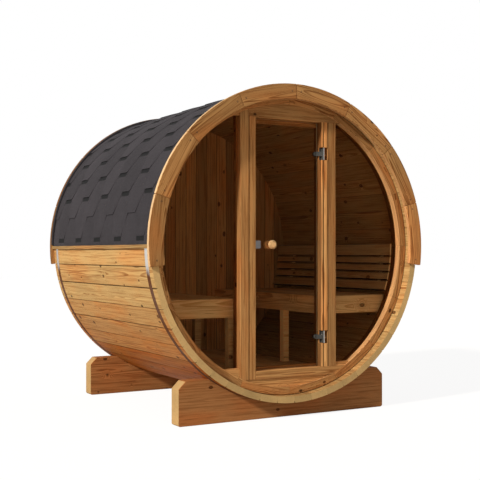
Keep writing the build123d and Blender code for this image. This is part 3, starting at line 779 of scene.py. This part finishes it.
def front_rim(part):
    """The outer edges of a curved board's front face."""
    front = reach(part)[0].y + 1e-4
    radius = {vertex: math.hypot(vertex.co.x, vertex.co.z - AXIS_HEIGHT) for vertex in part.verts}
    outer = max(radius.values()) - 1e-3
    rim = {vertex for vertex in part.verts if vertex.co.y < front and radius[vertex] > outer}
    return [edge for edge in part.edges if rim.issuperset(edge.verts)]


def curved(joinery, node, rim_cut, tone=None, arris=0.0):
    """Adds a node's solids as curved boards, their fibres along the chord of each.

    rim_cut says of a face and the board's way out how much it shows cut wood, and the arris goes on
    the outer front edge."""
    for part in solids(node):
        middle = sum((vertex.co for vertex in part.verts), Vector()) / len(part.verts)
        out = outward(middle)
        if arris:
            bmesh.ops.bevel(
                part, geom=front_rim(part), offset=arris, segments=1, affect="EDGES", clamp_overlap=False
            )
        chord = Vector((-out.z, 0, out.x))
        joinery.board(part, middle, chord, out, tone=tone, cut=lambda face, out=out: rim_cut(face, out))


def dress(node, material):
    """Gives a frame node its finish."""
    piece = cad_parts[node]
    piece.data.materials.clear()
    piece.data.materials.append(material)


# --- Stage ----------------------------------------------------------------------------

EYE = (-3.2483, -5.8208, 1.0487)
EYE_TURN = (90.807, -0.016, -29.889)
EYE_LENS = 69.714
SENSOR = 36.0
SUNBEAM = (0.846, 0.235, -0.478)
SUN_WIDTH = math.radians(4)
SUN_TINT = (1.0, 0.97, 0.92)
WHITE = (1.0, 1.0, 1.0)
# The floor as the eye sees it: the share of its own glow over the lamp's light, and the glow's strength.
GROUND_GLOW = (0.77, 1.17)
GROUND_REACH = 30.0


def place_camera(scene):
    """Puts the camera at the angle that the sauna is shown from."""
    camera = bpy.data.objects.new("camera", bpy.data.cameras.new("camera"))
    scene.collection.objects.link(camera)
    camera.location = EYE
    camera.rotation_euler = [math.radians(turn) for turn in EYE_TURN]
    camera.data.sensor_width = SENSOR
    camera.data.lens = EYE_LENS
    scene.camera = camera


def hang_sun(scene):
    """Hangs the main lamp."""
    sun = bpy.data.objects.new("sun", bpy.data.lights.new("sun", "SUN"))
    scene.collection.objects.link(sun)
    sun.rotation_euler = Vector(SUNBEAM).to_track_quat("-Z", "Y").to_euler()
    sun.data.energy = finish().sun_level
    sun.data.angle = SUN_WIDTH
    sun.data.color = SUN_TINT


def light_sky(scene):
    """Makes the even light all round, which is white to the eye."""
    scene.world = scene.world or bpy.data.worlds.new("sky")
    sky = Coat(scene.world)
    even = sky.node("ShaderNodeBackground", None, {"Color": WHITE, "Strength": finish().sky_level})
    white = sky.node("ShaderNodeBackground", None, {"Color": WHITE, "Strength": 1.0})
    sky.show(sky.blend(sky.seen(), even, white), "ShaderNodeOutputWorld")


def lay_ground(scene):
    """Lays the pale floor, which looks nearly white and keeps the sauna's shadow."""
    grid = bmesh.new()
    bmesh.ops.create_grid(grid, x_segments=8, y_segments=8, size=GROUND_REACH)
    mesh = bpy.data.meshes.new("ground")
    grid.to_mesh(mesh)
    grid.free()
    ground = bpy.data.objects.new("ground", mesh)
    scene.collection.objects.link(ground)
    coat = Coat(bpy.data.materials.new("pale_ground"))
    share, strength = GROUND_GLOW
    matte = coat.node("ShaderNodeBsdfDiffuse", None, {"Color": finish().ground[:]})
    glow = coat.node("ShaderNodeEmission", None, {"Color": WHITE, "Strength": strength})
    mesh.materials.append(coat.show(coat.blend(coat.seen() * share, matte, glow)))


class SAUNA_OT_stage(bpy.types.Operator):
    """Sets the pale floor, the soft light and the camera"""

    bl_idname = "sauna.stage"
    bl_label = "Stage"

    def execute(self, context):
        for step in (place_camera, hang_sun, light_sky, lay_ground):
            step(context.scene)
        context.scene.view_settings.view_transform = "Standard"
        return {"FINISHED"}


# --- Barrel ---------------------------------------------------------------------------

# Flats that a stave's rounded faces are cut into, and half the angle left open between two staves.
STAVE_FLATS = 3
HAIRLINE = 0.0001
# Widths of the shadow joints, as shares of the widest.
JOINT_WIDTHS = (0.3, 0.55, 0.8, 1.0)
# Tone of a stave above the painted shade, how much deeper the painted shade makes a low stave, and how far
# single staves differ.
OPEN_TONE, PAINTED_SHADE_TONE, TONE_SPREAD = 0.72, 0.35, 0.5
# Warmth of a stave above the painted shade, and how far single staves differ in it.
OPEN_WARMTH, WARMTH_SPREAD = -0.1, 0.3
# Degrees under the horizontal from which the staves turn darker and warmer as painted shade and painted warm
# bounce light, and over how many they do.
PAINTED_SHADE_FROM, PAINTED_SHADE_OVER = 20, 32


def stave_outline(middle, first, last):
    """The cross-section of a stave at an angle round the barrel, its outer face from first to last."""
    half = math.pi / sizes().stave_count
    outer, inner = BARREL_RADIUS, BARREL_RADIUS - sizes().stave_thickness
    arris, depth = sizes().stave_arris, sizes().stave_joint_depth
    ease, side = arris / outer, half - HAIRLINE
    count = STAVE_FLATS + 1
    spots = [(outer, first + ease + k * (last - first - 2 * ease) / STAVE_FLATS) for k in range(count)]
    spots += [(outer - arris, last), (outer - depth, last), (outer - depth, side), (inner + arris, side)]
    spots += [(inner, half - ease - k * 2 * (half - ease) / STAVE_FLATS) for k in range(count)]
    spots += [(inner + arris, -side), (outer - depth, -side), (outer - depth, first), (outer - arris, first)]
    return [
        Vector((radius * math.cos(middle + turn), 0, radius * math.sin(middle + turn)))
        for radius, turn in spots
    ]


def stave_cut(face, side):
    """Cut share of a stave's face: dark in the joints, sawn wood on the ends."""
    toward = abs(face.normal.dot(side))
    if toward > 0.5:
        return -1.0 if toward > 0.95 else -0.4
    return 1.0 if abs(face.normal.y) > 0.7 else 0.0


def stave_painted_light_tone(face, out, tone):
    """Tone of a stave's face, from the stave's own: deeper inside, and paler on the front ends on the left
    as painted sunlight.
    """
    if face.normal.dot(out) < -0.5:
        return tone - 0.1
    return tone + 0.6 * max(0.0, -out.x) ** 2 if face.normal.y < -0.9 else tone


def lay_stave(joinery, place, joints):
    """Adds the stave at a place round the barrel, between its two shadow joints."""
    half = math.pi / sizes().stave_count
    middle = (place + 0.5) * 2 * half
    first = -half + joints[place] / BARREL_RADIUS
    last = half - joints[(place + 1) % len(joints)] / BARREL_RADIUS
    start = Vector((0, shell_low.y, AXIS_HEIGHT))
    run = Vector((0, shell_high.y - shell_low.y, 0))
    shape = extrusion(stave_outline(middle, first, last), start, run)
    out = Vector((math.cos(middle), 0, math.sin(middle)))
    side = Vector((out.z, 0, -out.x))
    # Staves low on the barrel are painted darker and warmer: painted shade, and painted warm bounce light
    # from the floor.
    below = -math.degrees(math.asin(out.z))
    painted_shade_share = min(max((below - PAINTED_SHADE_FROM) / PAINTED_SHADE_OVER, 0.0), 1.0)
    tone = OPEN_TONE - PAINTED_SHADE_TONE * painted_shade_share + TONE_SPREAD * (joinery.luck.random() - 0.5)
    warmth = painted_shade_share + OPEN_WARMTH + WARMTH_SPREAD * (joinery.luck.random() - 0.5)
    joinery.board(
        shape,
        start + out * (2 * BARREL_RADIUS - sizes().stave_thickness) / 2,
        AXES[1],
        out.cross(AXES[1]),
        tone=lambda face: stave_painted_light_tone(face, out, tone),
        warmth=lambda face: warmth if face.normal.dot(out) > 0.5 else 0.0,
        cut=lambda face: stave_cut(face, side),
    )


class SAUNA_OT_staves(bpy.types.Operator):
    """Lays the barrel's staves, each one a board with its own grain"""

    bl_idname = "sauna.staves"
    bl_label = "Staves"

    def execute(self, context):
        count = sizes().stave_count
        chance = random.Random(99)
        joints = [sizes().stave_joint * chance.choice(JOINT_WIDTHS) / 2 for _ in range(count)]
        per_node = count // len(SEGMENTS)
        for number, node in enumerate(SEGMENTS):
            joinery = Joinery(f"staves_{number + 1:02d}", 100 + number)
            for place in range(number * per_node, (number + 1) * per_node):
                lay_stave(joinery, place, joints)
            joinery.piece(wood("stave"), "stave_wood", node)
        return {"FINISHED"}


# --- Arches and ring ------------------------------------------------------------------

# From the barrel's outside in to the fascia's screws.
SCREW_DROP = 0.022
# A screw head from its edge to its recess: radius and height, as shares of its radius.
SCREW_RINGS = ((1.0, -0.12), (0.95, 0.004), (0.5, 0.01), (0.4, -0.22))
SCREW_SIDES = 12
# The recess starts inside this ring size, and its lobes leave this share between them.
RECESS, LOBE = 0.6, 0.8


def arch_cut(outer_rim, inner_rim):
    """Cut shares of an arch's faces: none in front, and the given ones on its rims."""

    def share(face, out):
        if abs(face.normal.y) > 0.2:
            return 0.0
        return outer_rim if face.normal.dot(out) > 0.6 else inner_rim

    return share


def ring_cut_and_painted_shade(face, out):
    """Cut share of a ring piece's face: dark at the joints, and dark as painted shade on its eased outer
    edge at the staves and on its rim behind the glass.
    """
    facing = face.normal.dot(out)
    if facing > 0.3:
        return -0.65
    if facing < -0.6:
        return 0.2 if face.calc_center_median().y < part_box("left_pane")[0].y else -0.6
    return -0.4 if abs(face.normal.y) < 0.2 else 0.0


def ring_painted_light_tone(face):
    """Tone of a ring piece's face: paler towards the left, as painted sunlight."""
    return 0.95 - 0.38 * face.calc_center_median().x


def screw(centre, out, radius):
    """A countersunk screw head with a six-lobed recess."""
    shape = bmesh.new()
    side = out.orthogonal().normalized()
    up = out.cross(side)
    rings = []
    for size, height in SCREW_RINGS:
        ring = []
        for k in range(SCREW_SIDES):
            turn = k * 2 * math.pi / SCREW_SIDES
            lobe = LOBE if size < RECESS and k % 2 else 1.0
            spoke = (side * math.cos(turn) + up * math.sin(turn)) * radius * size * lobe
            ring.append(shape.verts.new(centre + spoke + out * radius * height))
        rings.append(ring)
    for near, far in zip(rings, rings[1:]):
        for k in range(SCREW_SIDES):
            j = (k + 1) % SCREW_SIDES
            shape.faces.new((near[k], near[j], far[j], far[k]))
    shape.faces.new(rings[-1])
    bmesh.ops.recalc_face_normals(shape, faces=shape.faces)
    return shape


def screw_arch(node, way):
    """Sets a screw near each end of an arch's boards, on the face that looks way along Y."""
    low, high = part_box(node)
    y = low.y if way < 0 else high.y
    inset = sizes().screw_inset / BARREL_RADIUS
    joinery = Joinery(f"{node}_screws", 210 + way)
    for part in solids(node):
        corners = [math.atan2(v.co.z - AXIS_HEIGHT, v.co.x) % (2 * math.pi) for v in part.verts]
        if max(corners) - min(corners) > math.pi:
            corners = [turn - 2 * math.pi if turn > math.pi else turn for turn in corners]
        part.free()
        for turn in (min(corners) + inset, max(corners) - inset):
            spot = round_axis(BARREL_RADIUS - SCREW_DROP, turn, y)
            joinery.board(screw(spot, Vector((0, way, 0)), sizes().screw_radius), spot, AXES[0], AXES[2])
    joinery.piece(made("screw_steel", brushed_steel, finish().screw[:], 0.5), "fitting_metal")


class SAUNA_OT_arches(bpy.types.Operator):
    """Makes the curved fascia boards over both ends and the ring inside the front end"""

    bl_idname = "sauna.arches"
    bl_label = "Arches and ring"

    def execute(self, context):
        for seed, (node, rim_cut, tone, arris) in enumerate(
            (
                ("front_arch", arch_cut(0.9, 0.2), None, 0.0),
                ("rear_arch", arch_cut(-0.6, 0.0), None, 0.0),
                ("front_ring", ring_cut_and_painted_shade, ring_painted_light_tone, sizes().ring_arris),
            )
        ):
            joinery = Joinery(f"{node}_boards", 200 + seed)
            curved(joinery, node, rim_cut, tone, arris)
            joinery.piece(wood("frame"), "frame_wood", node)
        screw_arch("front_arch", -1)
        screw_arch("rear_arch", 1)
        return {"FINISHED"}


# --- Front frame and cradles ----------------------------------------------------------

# Each part's tone, the cut share of its side that looks left, which is painted shade there, and the side,
# -1 left or 1 right, on which a post and its jamb meet and their eased edges are dark. Parts with no such
# side keep theirs sharp.
FRONT_PARTS = {
    "left_post": (0.85, -0.4, 1),
    "right_post": (0.25, 0.0, -1),
    "left_jamb": (0.85, 0.0, -1),
    "right_jamb": (1.5, -0.72, 1),
    "sill": (0.75, 0.0, 0),
    "header_panel": (0.6, 0.0, 0),
    "lower_panel": (1.35, 0.0, 0),
}
# Edges shorter than these keep their corners.
POST_SHORTEST = 0.1
CRADLE_SHORTEST = 0.012


def post_cut(reveal, joint_side):
    """Cut shares of a post's faces: dark in its joint, and painted shade by the reveal share on the side
    that looks left.
    """

    def share(face):
        if 0.3 < face.normal.x * joint_side < 0.9:
            return -0.8
        return reveal if face.normal.x < -0.9 else 0.0

    return share


class SAUNA_OT_front_frame(bpy.types.Operator):
    """Makes the posts, jambs, sill and panels of the front"""

    bl_idname = "sauna.front_frame"
    bl_label = "Front frame"

    def execute(self, context):
        for seed, (node, (tone, reveal, joint_side)) in enumerate(FRONT_PARTS.items()):
            joinery = Joinery(f"{node}_board", 300 + seed)
            arris = sizes().post_arris if joint_side else 0.0
            straight(joinery, node, arris, POST_SHORTEST, tone=tone, cut=post_cut(reveal, joint_side))
            joinery.piece(wood("frame"), "frame_wood", node)
        return {"FINISHED"}


class SAUNA_OT_cradles(bpy.types.Operator):
    """Makes the two cradle planks"""

    bl_idname = "sauna.cradles"
    bl_label = "Cradles"

    def execute(self, context):
        for seed, node in enumerate(("front_cradle", "rear_cradle")):
            joinery = Joinery(f"{node}_plank", 400 + seed)
            straight(joinery, node, sizes().cradle_arris, CRADLE_SHORTEST)
            joinery.piece(wood("cradle"), "cradle_wood", node)
        return {"FINISHED"}


# --- Roofing --------------------------------------------------------------------------

# Length of a tile from foot to head, and the length over which its build-up would run out, in exposures.
TILE_RUN = 2.15
BUILD_UP_RUN = 2.4
# Shares and lengths under these are nothing: how far up a foot is cut, a strip's width, a face's height.
NO_CUT, NO_STRIP, NO_FACE = 1e-3, 1e-4, 1e-5
# How far in from the roof's surface an edge bead starts, how round it is, and the angles that it spans.
BEAD_DEPTH = 0.006
BEAD_STEPS, BEAD_FLATTENED = 5, 0.96
BEAD_START, BEAD_STOP, BEAD_ARC_STEPS = math.radians(0.5), math.radians(179.5), 90
# A ridge cap: its run over the lap, rise at the foot and fall to the head, thickness, clipped corners,
# how far its sides dip, and the flats across it.
CAP_RUN = 1.3
CAP_RISE, CAP_FALL, CAP_THICKNESS = 0.0048, 0.0038, 0.003
CAP_CORNER, CAP_DIP, CAP_FLATS = 0.012, 0.002, 8


def first_tab(course):
    """Where the middle of a course's first tab lies. Every other course is half a pitch further on."""
    return roof_low.y + sizes().tile_first + (course % 2) * sizes().tile_pitch / 2


def foot_height(y, course):
    """How far up the cut foot of a course lies at y, as a share of the exposure."""
    pitch, tab = sizes().tile_pitch, sizes().tile_tab
    away = abs((y - first_tab(course) + pitch / 2) % pitch - pitch / 2)
    return min(max((away - tab / 2) / (pitch / 2 - tab), 0.0), 1.0)


def tile_marks(course):
    """The places along the roof where the foot of a course turns a corner, its ends among them."""
    pitch, tab = sizes().tile_pitch, sizes().tile_tab
    slant = pitch / 2 - tab
    marks = {roof_low.y, roof_high.y}
    for k in range(-1, math.ceil((roof_high.y - roof_low.y) / pitch) + 2):
        for step in (-tab / 2 - slant, -tab / 2, tab / 2, tab / 2 + slant):
            marks.add(min(max(first_tab(course) + k * pitch + step, roof_low.y), roof_high.y))
    return sorted(marks)


def tile_rows(course, a, b):
    """Heights of a tile's rows of points between a and b, and the number of the row in shadow, if any.

    Heights are in exposures from the foot of the course. The last value is true where they hold at a
    and at b alike, and false where they are spread from the slanted foot to the head."""
    band = sizes().shadow_band
    middle = (a + b) / 2
    if course < 0:
        eave = -sizes().starter / sizes().tile_exposure - course
        dark_row = 1 if foot_height(middle, 0) < NO_CUT else None
        return [eave, 1 - band, 1, 1.25, 1.5, 1.75, TILE_RUN], dark_row, True
    if foot_height(middle, course + 2) < NO_CUT:
        return [0, 0.25, 0.5, 0.75, 1, 1.25, 1.5, 2 - band, 2, TILE_RUN], 7, True
    return [k * TILE_RUN / 8 for k in range(9)], None, False


def tile_shape(side, course, a, b):
    """The strip of a course's tile between the places a and b along the roof, and its faces in shadow."""
    exposure = sizes().tile_exposure
    ridge = (math.pi / 2 - sizes().starter) / exposure - course
    feet = [foot_height(y, course) for y in (a + 1e-6, b - 1e-6)]
    heights, dark_row, even = tile_rows(course, a, b)
    shape = bmesh.new()
    rows = []
    for height in heights:
        row = []
        for y, foot in zip((a, b), feet):
            rise = min(height if even else foot + (TILE_RUN - foot) * height / TILE_RUN, ridge)
            turn = sizes().starter + (course + rise) * exposure
            for depth in (0.0, sizes().tile_thickness):
                radius = ROOF_RADIUS - sizes().tile_build_up * rise / BUILD_UP_RUN - depth
                row.append(shape.verts.new(round_axis(radius, turn, y, side)))
        rows.append(row)
    dark = []
    for number, (low, high) in enumerate(zip(rows, rows[1:])):
        if max((low[corner].co - high[corner].co).length for corner in (0, 2)) > NO_FACE:
            face = shape.faces.new((low[0], low[2], high[2], high[0]))
            if number == dark_row:
                dark.append(face)
    foot_face = shape.faces.new((rows[0][0], rows[0][1], rows[0][3], rows[0][2]))
    shape.normal_update()
    for face in shape.faces:
        out = outward(face.calc_center_median())
        if face == foot_face:
            out = Vector((side * out.z, 0, -side * out.x))
        if face.normal.dot(out) < 0:
            face.normal_flip()
    bmesh.ops.delete(shape, geom=[v for v in shape.verts if not v.link_faces], context="VERTS")
    return shape, dark


def tile_course(joinery, side, course):
    """Adds one course of tiles: tabs with a straight foot and slanted sides, lapped by the next two."""
    marks = tile_marks(course)
    for a, b in zip(marks, marks[1:]):
        if b - a > NO_STRIP:
            shape, dark = tile_shape(side, course, a, b)
            number = round(((a + b) / 2 - first_tab(course)) / sizes().tile_pitch)
            joinery.tile(shape, random.Random(course * 97 + number * 13 + side).random(), dark)


def run_edge_beads():
    """Runs a bead of bitumen along both curved edges of the roof."""
    joinery = Joinery("roof_edge_beads", 510)
    bead = sizes().seal_bead
    for y, way in ((roof_low.y, 1), (roof_high.y, -1)):
        profile = [(ROOF_RADIUS - BEAD_DEPTH, y), (ROOF_RADIUS + bead, y)]
        for k in range(1, BEAD_STEPS):
            turn = math.pi / 2 * k / BEAD_STEPS
            crown = ROOF_RADIUS + bead * math.cos(turn) * BEAD_FLATTENED
            profile.append((crown, y + way * bead * math.sin(turn)))
        profile.append((ROOF_RADIUS - BEAD_DEPTH, y + way * bead))
        joinery.tile(swept_arc(profile, BEAD_START, BEAD_STOP, BEAD_ARC_STEPS), 0.3)
    joinery.piece(made("bitumen", bitumen), "bitumen")


def ridge_cap(near_y, far_y, lap):
    """One bent cap over the ridge, its foot at near_y and its head under the next cap."""
    half = sizes().cap_width / ROOF_RADIUS
    lifts = (CAP_RISE, CAP_RISE - CAP_FALL * (far_y - near_y) / (CAP_RUN * lap))
    shape = bmesh.new()
    rows = []
    for i in range(CAP_FLATS + 1):
        turn = math.pi / 2 - half + 2 * half * i / CAP_FLATS
        corner, dip = (CAP_CORNER, CAP_DIP) if i in (0, CAP_FLATS) else (0.0, 0.0)
        row = []
        for y, lift in zip((near_y + corner, far_y), lifts):
            for depth in (0.0, CAP_THICKNESS):
                row.append(shape.verts.new(round_axis(ROOF_RADIUS + lift - depth - dip, turn, y)))
        rows.append(row)
    for near, far in zip(rows, rows[1:]):
        shape.faces.new((near[0], near[2], far[2], far[0]))
        shape.faces.new((near[0], far[0], far[1], near[1]))
    for row in (rows[0], rows[-1]):
        shape.faces.new((row[0], row[1], row[3], row[2]))
    shape.faces.new([row[1] for row in rows] + [row[3] for row in reversed(rows)])
    bmesh.ops.recalc_face_normals(shape, faces=shape.faces)
    return shape


def lay_ridge_caps():
    """Lays the caps along the ridge from the front, each under the one behind it."""
    joinery = Joinery("ridge_caps", 515)
    depth = roof_high.y - roof_low.y
    count = math.floor(depth / (sizes().tile_exposure * ROOF_RADIUS))
    lap = depth / count
    for k in range(count):
        near_y = roof_low.y + k * lap
        far_y = min(near_y + CAP_RUN * lap, roof_high.y)
        joinery.tile(ridge_cap(near_y, far_y, lap), joinery.luck.random())
    joinery.piece(made("bitumen", bitumen), "bitumen")


class SAUNA_OT_roofing(bpy.types.Operator):
    """Lays the courses of hexagonal bitumen tiles, the ridge caps, the edge beads and the eave battens"""

    bl_idname = "sauna.roofing"
    bl_label = "Roofing"

    def execute(self, context):
        courses = math.ceil((math.pi / 2 - sizes().starter) / sizes().tile_exposure)
        for side, node in ((-1, "left_roofing"), (1, "right_roofing")):
            joinery = Joinery(f"{node}_tiles", 500 + side)
            for course in range(-1, courses):
                tile_course(joinery, side, course)
            joinery.piece(made("bitumen", bitumen), "bitumen", node)
        run_edge_beads()
        lay_ridge_caps()
        joinery = Joinery("eave_batten_boards", 520)
        straight(joinery, "eave_battens", along=1, tone=-0.15)
        joinery.piece(wood("stave"), "stave_wood", "eave_battens")
        return {"FINISHED"}


# --- Rear wall and interior -----------------------------------------------------------


def wall_cut(face):
    """Cut share of the rear wall's faces: the chamfers of its board joints are dark."""
    return -0.6 if 0.4 < abs(face.normal.y) < 0.9 else 0.0


class SAUNA_OT_rear_wall(bpy.types.Operator):
    """Makes the rear wall of upright boards and the vent in it"""

    bl_idname = "sauna.rear_wall"
    bl_label = "Rear wall"

    def execute(self, context):
        joinery = Joinery("rear_wall_boards", 600)
        low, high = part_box("rear_wall")
        strips = (AXES[0], low.x, (high.x - low.x) / sizes().rear_boards)
        for part in solids("rear_wall"):
            joinery.board(part, (low + high) / 2, AXES[2], AXES[0], strips=strips, cut=wall_cut)
        joinery.piece(wood("wall"), "frame_wood", "rear_wall")
        dress("rear_vent", made("vent_plastic", moulded_plastic))
        return {"FINISHED"}


def skirt_painted_light_tone(face):
    """Tone of a bench skirt's face: the aisle sides are painted paler, as painted light."""
    return 1.35 if abs(face.normal.x) > 0.5 else 0.65


def leg_painted_light_tone(face):
    """Tone of the legs and bearers: those of the left bench are painted dark as painted shade under their
    bench, and those of the right bench paler as painted light.
    """
    return 2.4 if face.calc_center_median().x > 0.0 else 0.3


def slat_painted_light_tone(face):
    """Tone of a backrest face: the sawn front ends are painted paler, as painted daylight."""
    return 2.0 if face.normal.y < -0.9 else 0.2


def slat_cut_and_painted_shade(face):
    """Cut share of a backrest face: sawn on the ends, and dark as painted shade on the edges that look at
    the next slat.
    """
    return 1.0 if abs(face.normal.y) > 0.9 else -1.0 if abs(face.normal.z) > 0.4 else 0.0


# Edges shorter than this keep their corners on the backrests.
SLAT_SHORTEST = 1.0
# What sets each part apart. The skirts are sawn at their corners, and the frames over their legs.
INTERIOR_PARTS = {
    "floor_boards": {},
    "floor_joists": {},
    "left_bench_seat": {},
    "right_bench_seat": {},
    "bench_skirts": {"tone": skirt_painted_light_tone, "saw_axis": 1},
    "bench_frames": {"tone": leg_painted_light_tone, "saw_axis": 2},
    "left_backrest": {"tone": slat_painted_light_tone, "cut": slat_cut_and_painted_shade, "shortest": SLAT_SHORTEST},
    "right_backrest": {"tone": slat_painted_light_tone, "cut": slat_cut_and_painted_shade, "shortest": SLAT_SHORTEST},
}


class SAUNA_OT_interior(bpy.types.Operator):
    """Makes the floor, the benches and the backrests"""

    bl_idname = "sauna.interior"
    bl_label = "Floor, benches and backrests"

    def execute(self, context):
        for seed, (node, look) in enumerate(INTERIOR_PARTS.items()):
            joinery = Joinery(f"{node}_timber", 700 + seed)
            arris = sizes().slat_arris if "shortest" in look else 0.0
            straight(joinery, node, arris, **look)
            joinery.piece(wood("inner"), "inner_wood", node)
        return {"FINISHED"}


# --- Glass and fittings ---------------------------------------------------------------


def glass_cut(face):
    """Edge share of a sheet's faces: all but its two broad ones are edges."""
    return 1.0 if abs(face.normal.y) < 0.5 else 0.0


def knob_cut(face):
    """Cut share of the knob's faces: its slanted sides are the darker ones."""
    return -0.45 if 0.2 < abs(face.normal.y) < 0.9 else 0.0


class SAUNA_OT_glazing(bpy.types.Operator):
    """Sets the bronze glass of both panes and the door"""

    bl_idname = "sauna.glazing"
    bl_label = "Glazing"

    def execute(self, context):
        sheets = {"left_pane": "sauna", "right_pane": "sauna", "door_glass": "door"}
        for seed, (node, body) in enumerate(sheets.items()):
            joinery = Joinery(f"{node}_sheet", 900 + seed)
            for part in solids(node):
                low, high = reach(part)
                joinery.board(part, (low + high) / 2, AXES[2], AXES[0], cut=glass_cut)
            joinery.piece(made("bronze_glass", tinted_glass), "bronze_glass", node, body=body)
        return {"FINISHED"}


class SAUNA_OT_fittings(bpy.types.Operator):
    """Finishes the steel bands, the hinges, the catch and the door knob"""

    bl_idname = "sauna.fittings"
    bl_label = "Bands and fittings"

    def execute(self, context):
        steel = finish().steel[:]
        # The bands are brown from a little under the barrel's axis down: painted shade for the dark ground
        # that the lower band reflects.
        band_shade_look = {"stain": finish().band_painted_shade[:], "stain_top": AXIS_HEIGHT - 0.14}
        dress("steel_bands", made("band_steel", brushed_steel, steel, 0.38, **band_shade_look))
        # The hinges are bright on their barrels alone, which are at their right edge; the rest of each hinge
        # is painted shade.
        bright_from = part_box("hinge_plates")[1].x - sizes().hinge_barrel
        shade = {"stain": finish().clamp[:], "stain_axis": 0, "stain_top": bright_from, "stain_fade": 0.002}
        for node in ("hinge_plates", "hinge_clamps"):
            dress(node, made("hinge_steel", brushed_steel, steel, 0.35, **shade))
        dress("catch_plate", made("catch_steel", brushed_steel, finish().catch[:], 0.5))
        joinery = Joinery("door_knob_turning", 800)
        straight(joinery, "door_knob", along=1, cut=knob_cut)
        joinery.piece(wood("knob"), "knob_wood", "door_knob", body="door")
        return {"FINISHED"}


# --- Panel ----------------------------------------------------------------------------


class SAUNA_PT_panel(bpy.types.Panel):
    """Lists the steps that dress the sauna"""

    bl_idname = "SAUNA_PT_panel"
    bl_label = "Barrel sauna"
    bl_space_type = "VIEW_3D"
    bl_region_type = "UI"
    bl_category = "Sauna"

    def draw(self, context):
        for operator in OPERATORS:
            self.layout.operator(operator.bl_idname)
        for group in (sizes(), finish()):
            for name in group.bl_rna.properties.keys():
                if name not in ("rna_type", "name"):
                    self.layout.prop(group, name)


OPERATORS = (
    SAUNA_OT_stage,
    SAUNA_OT_staves,
    SAUNA_OT_arches,
    SAUNA_OT_front_frame,
    SAUNA_OT_cradles,
    SAUNA_OT_roofing,
    SAUNA_OT_rear_wall,
    SAUNA_OT_interior,
    SAUNA_OT_glazing,
    SAUNA_OT_fittings,
)
CLASSES = (SaunaSizes, SaunaFinish, *OPERATORS, SAUNA_PT_panel)


def register():
    for kind in CLASSES:
        bpy.utils.register_class(kind)
    bpy.types.Scene.sauna_sizes = PointerProperty(type=SaunaSizes)
    bpy.types.Scene.sauna_finish = PointerProperty(type=SaunaFinish)


def unregister():
    del bpy.types.Scene.sauna_sizes
    del bpy.types.Scene.sauna_finish
    for kind in reversed(CLASSES):
        bpy.utils.unregister_class(kind)


def main():
    register()
    for operator in OPERATORS:
        group, name = operator.bl_idname.split(".")
        getattr(getattr(bpy.ops, group), name)()


if __name__ == "__main__":
    main()
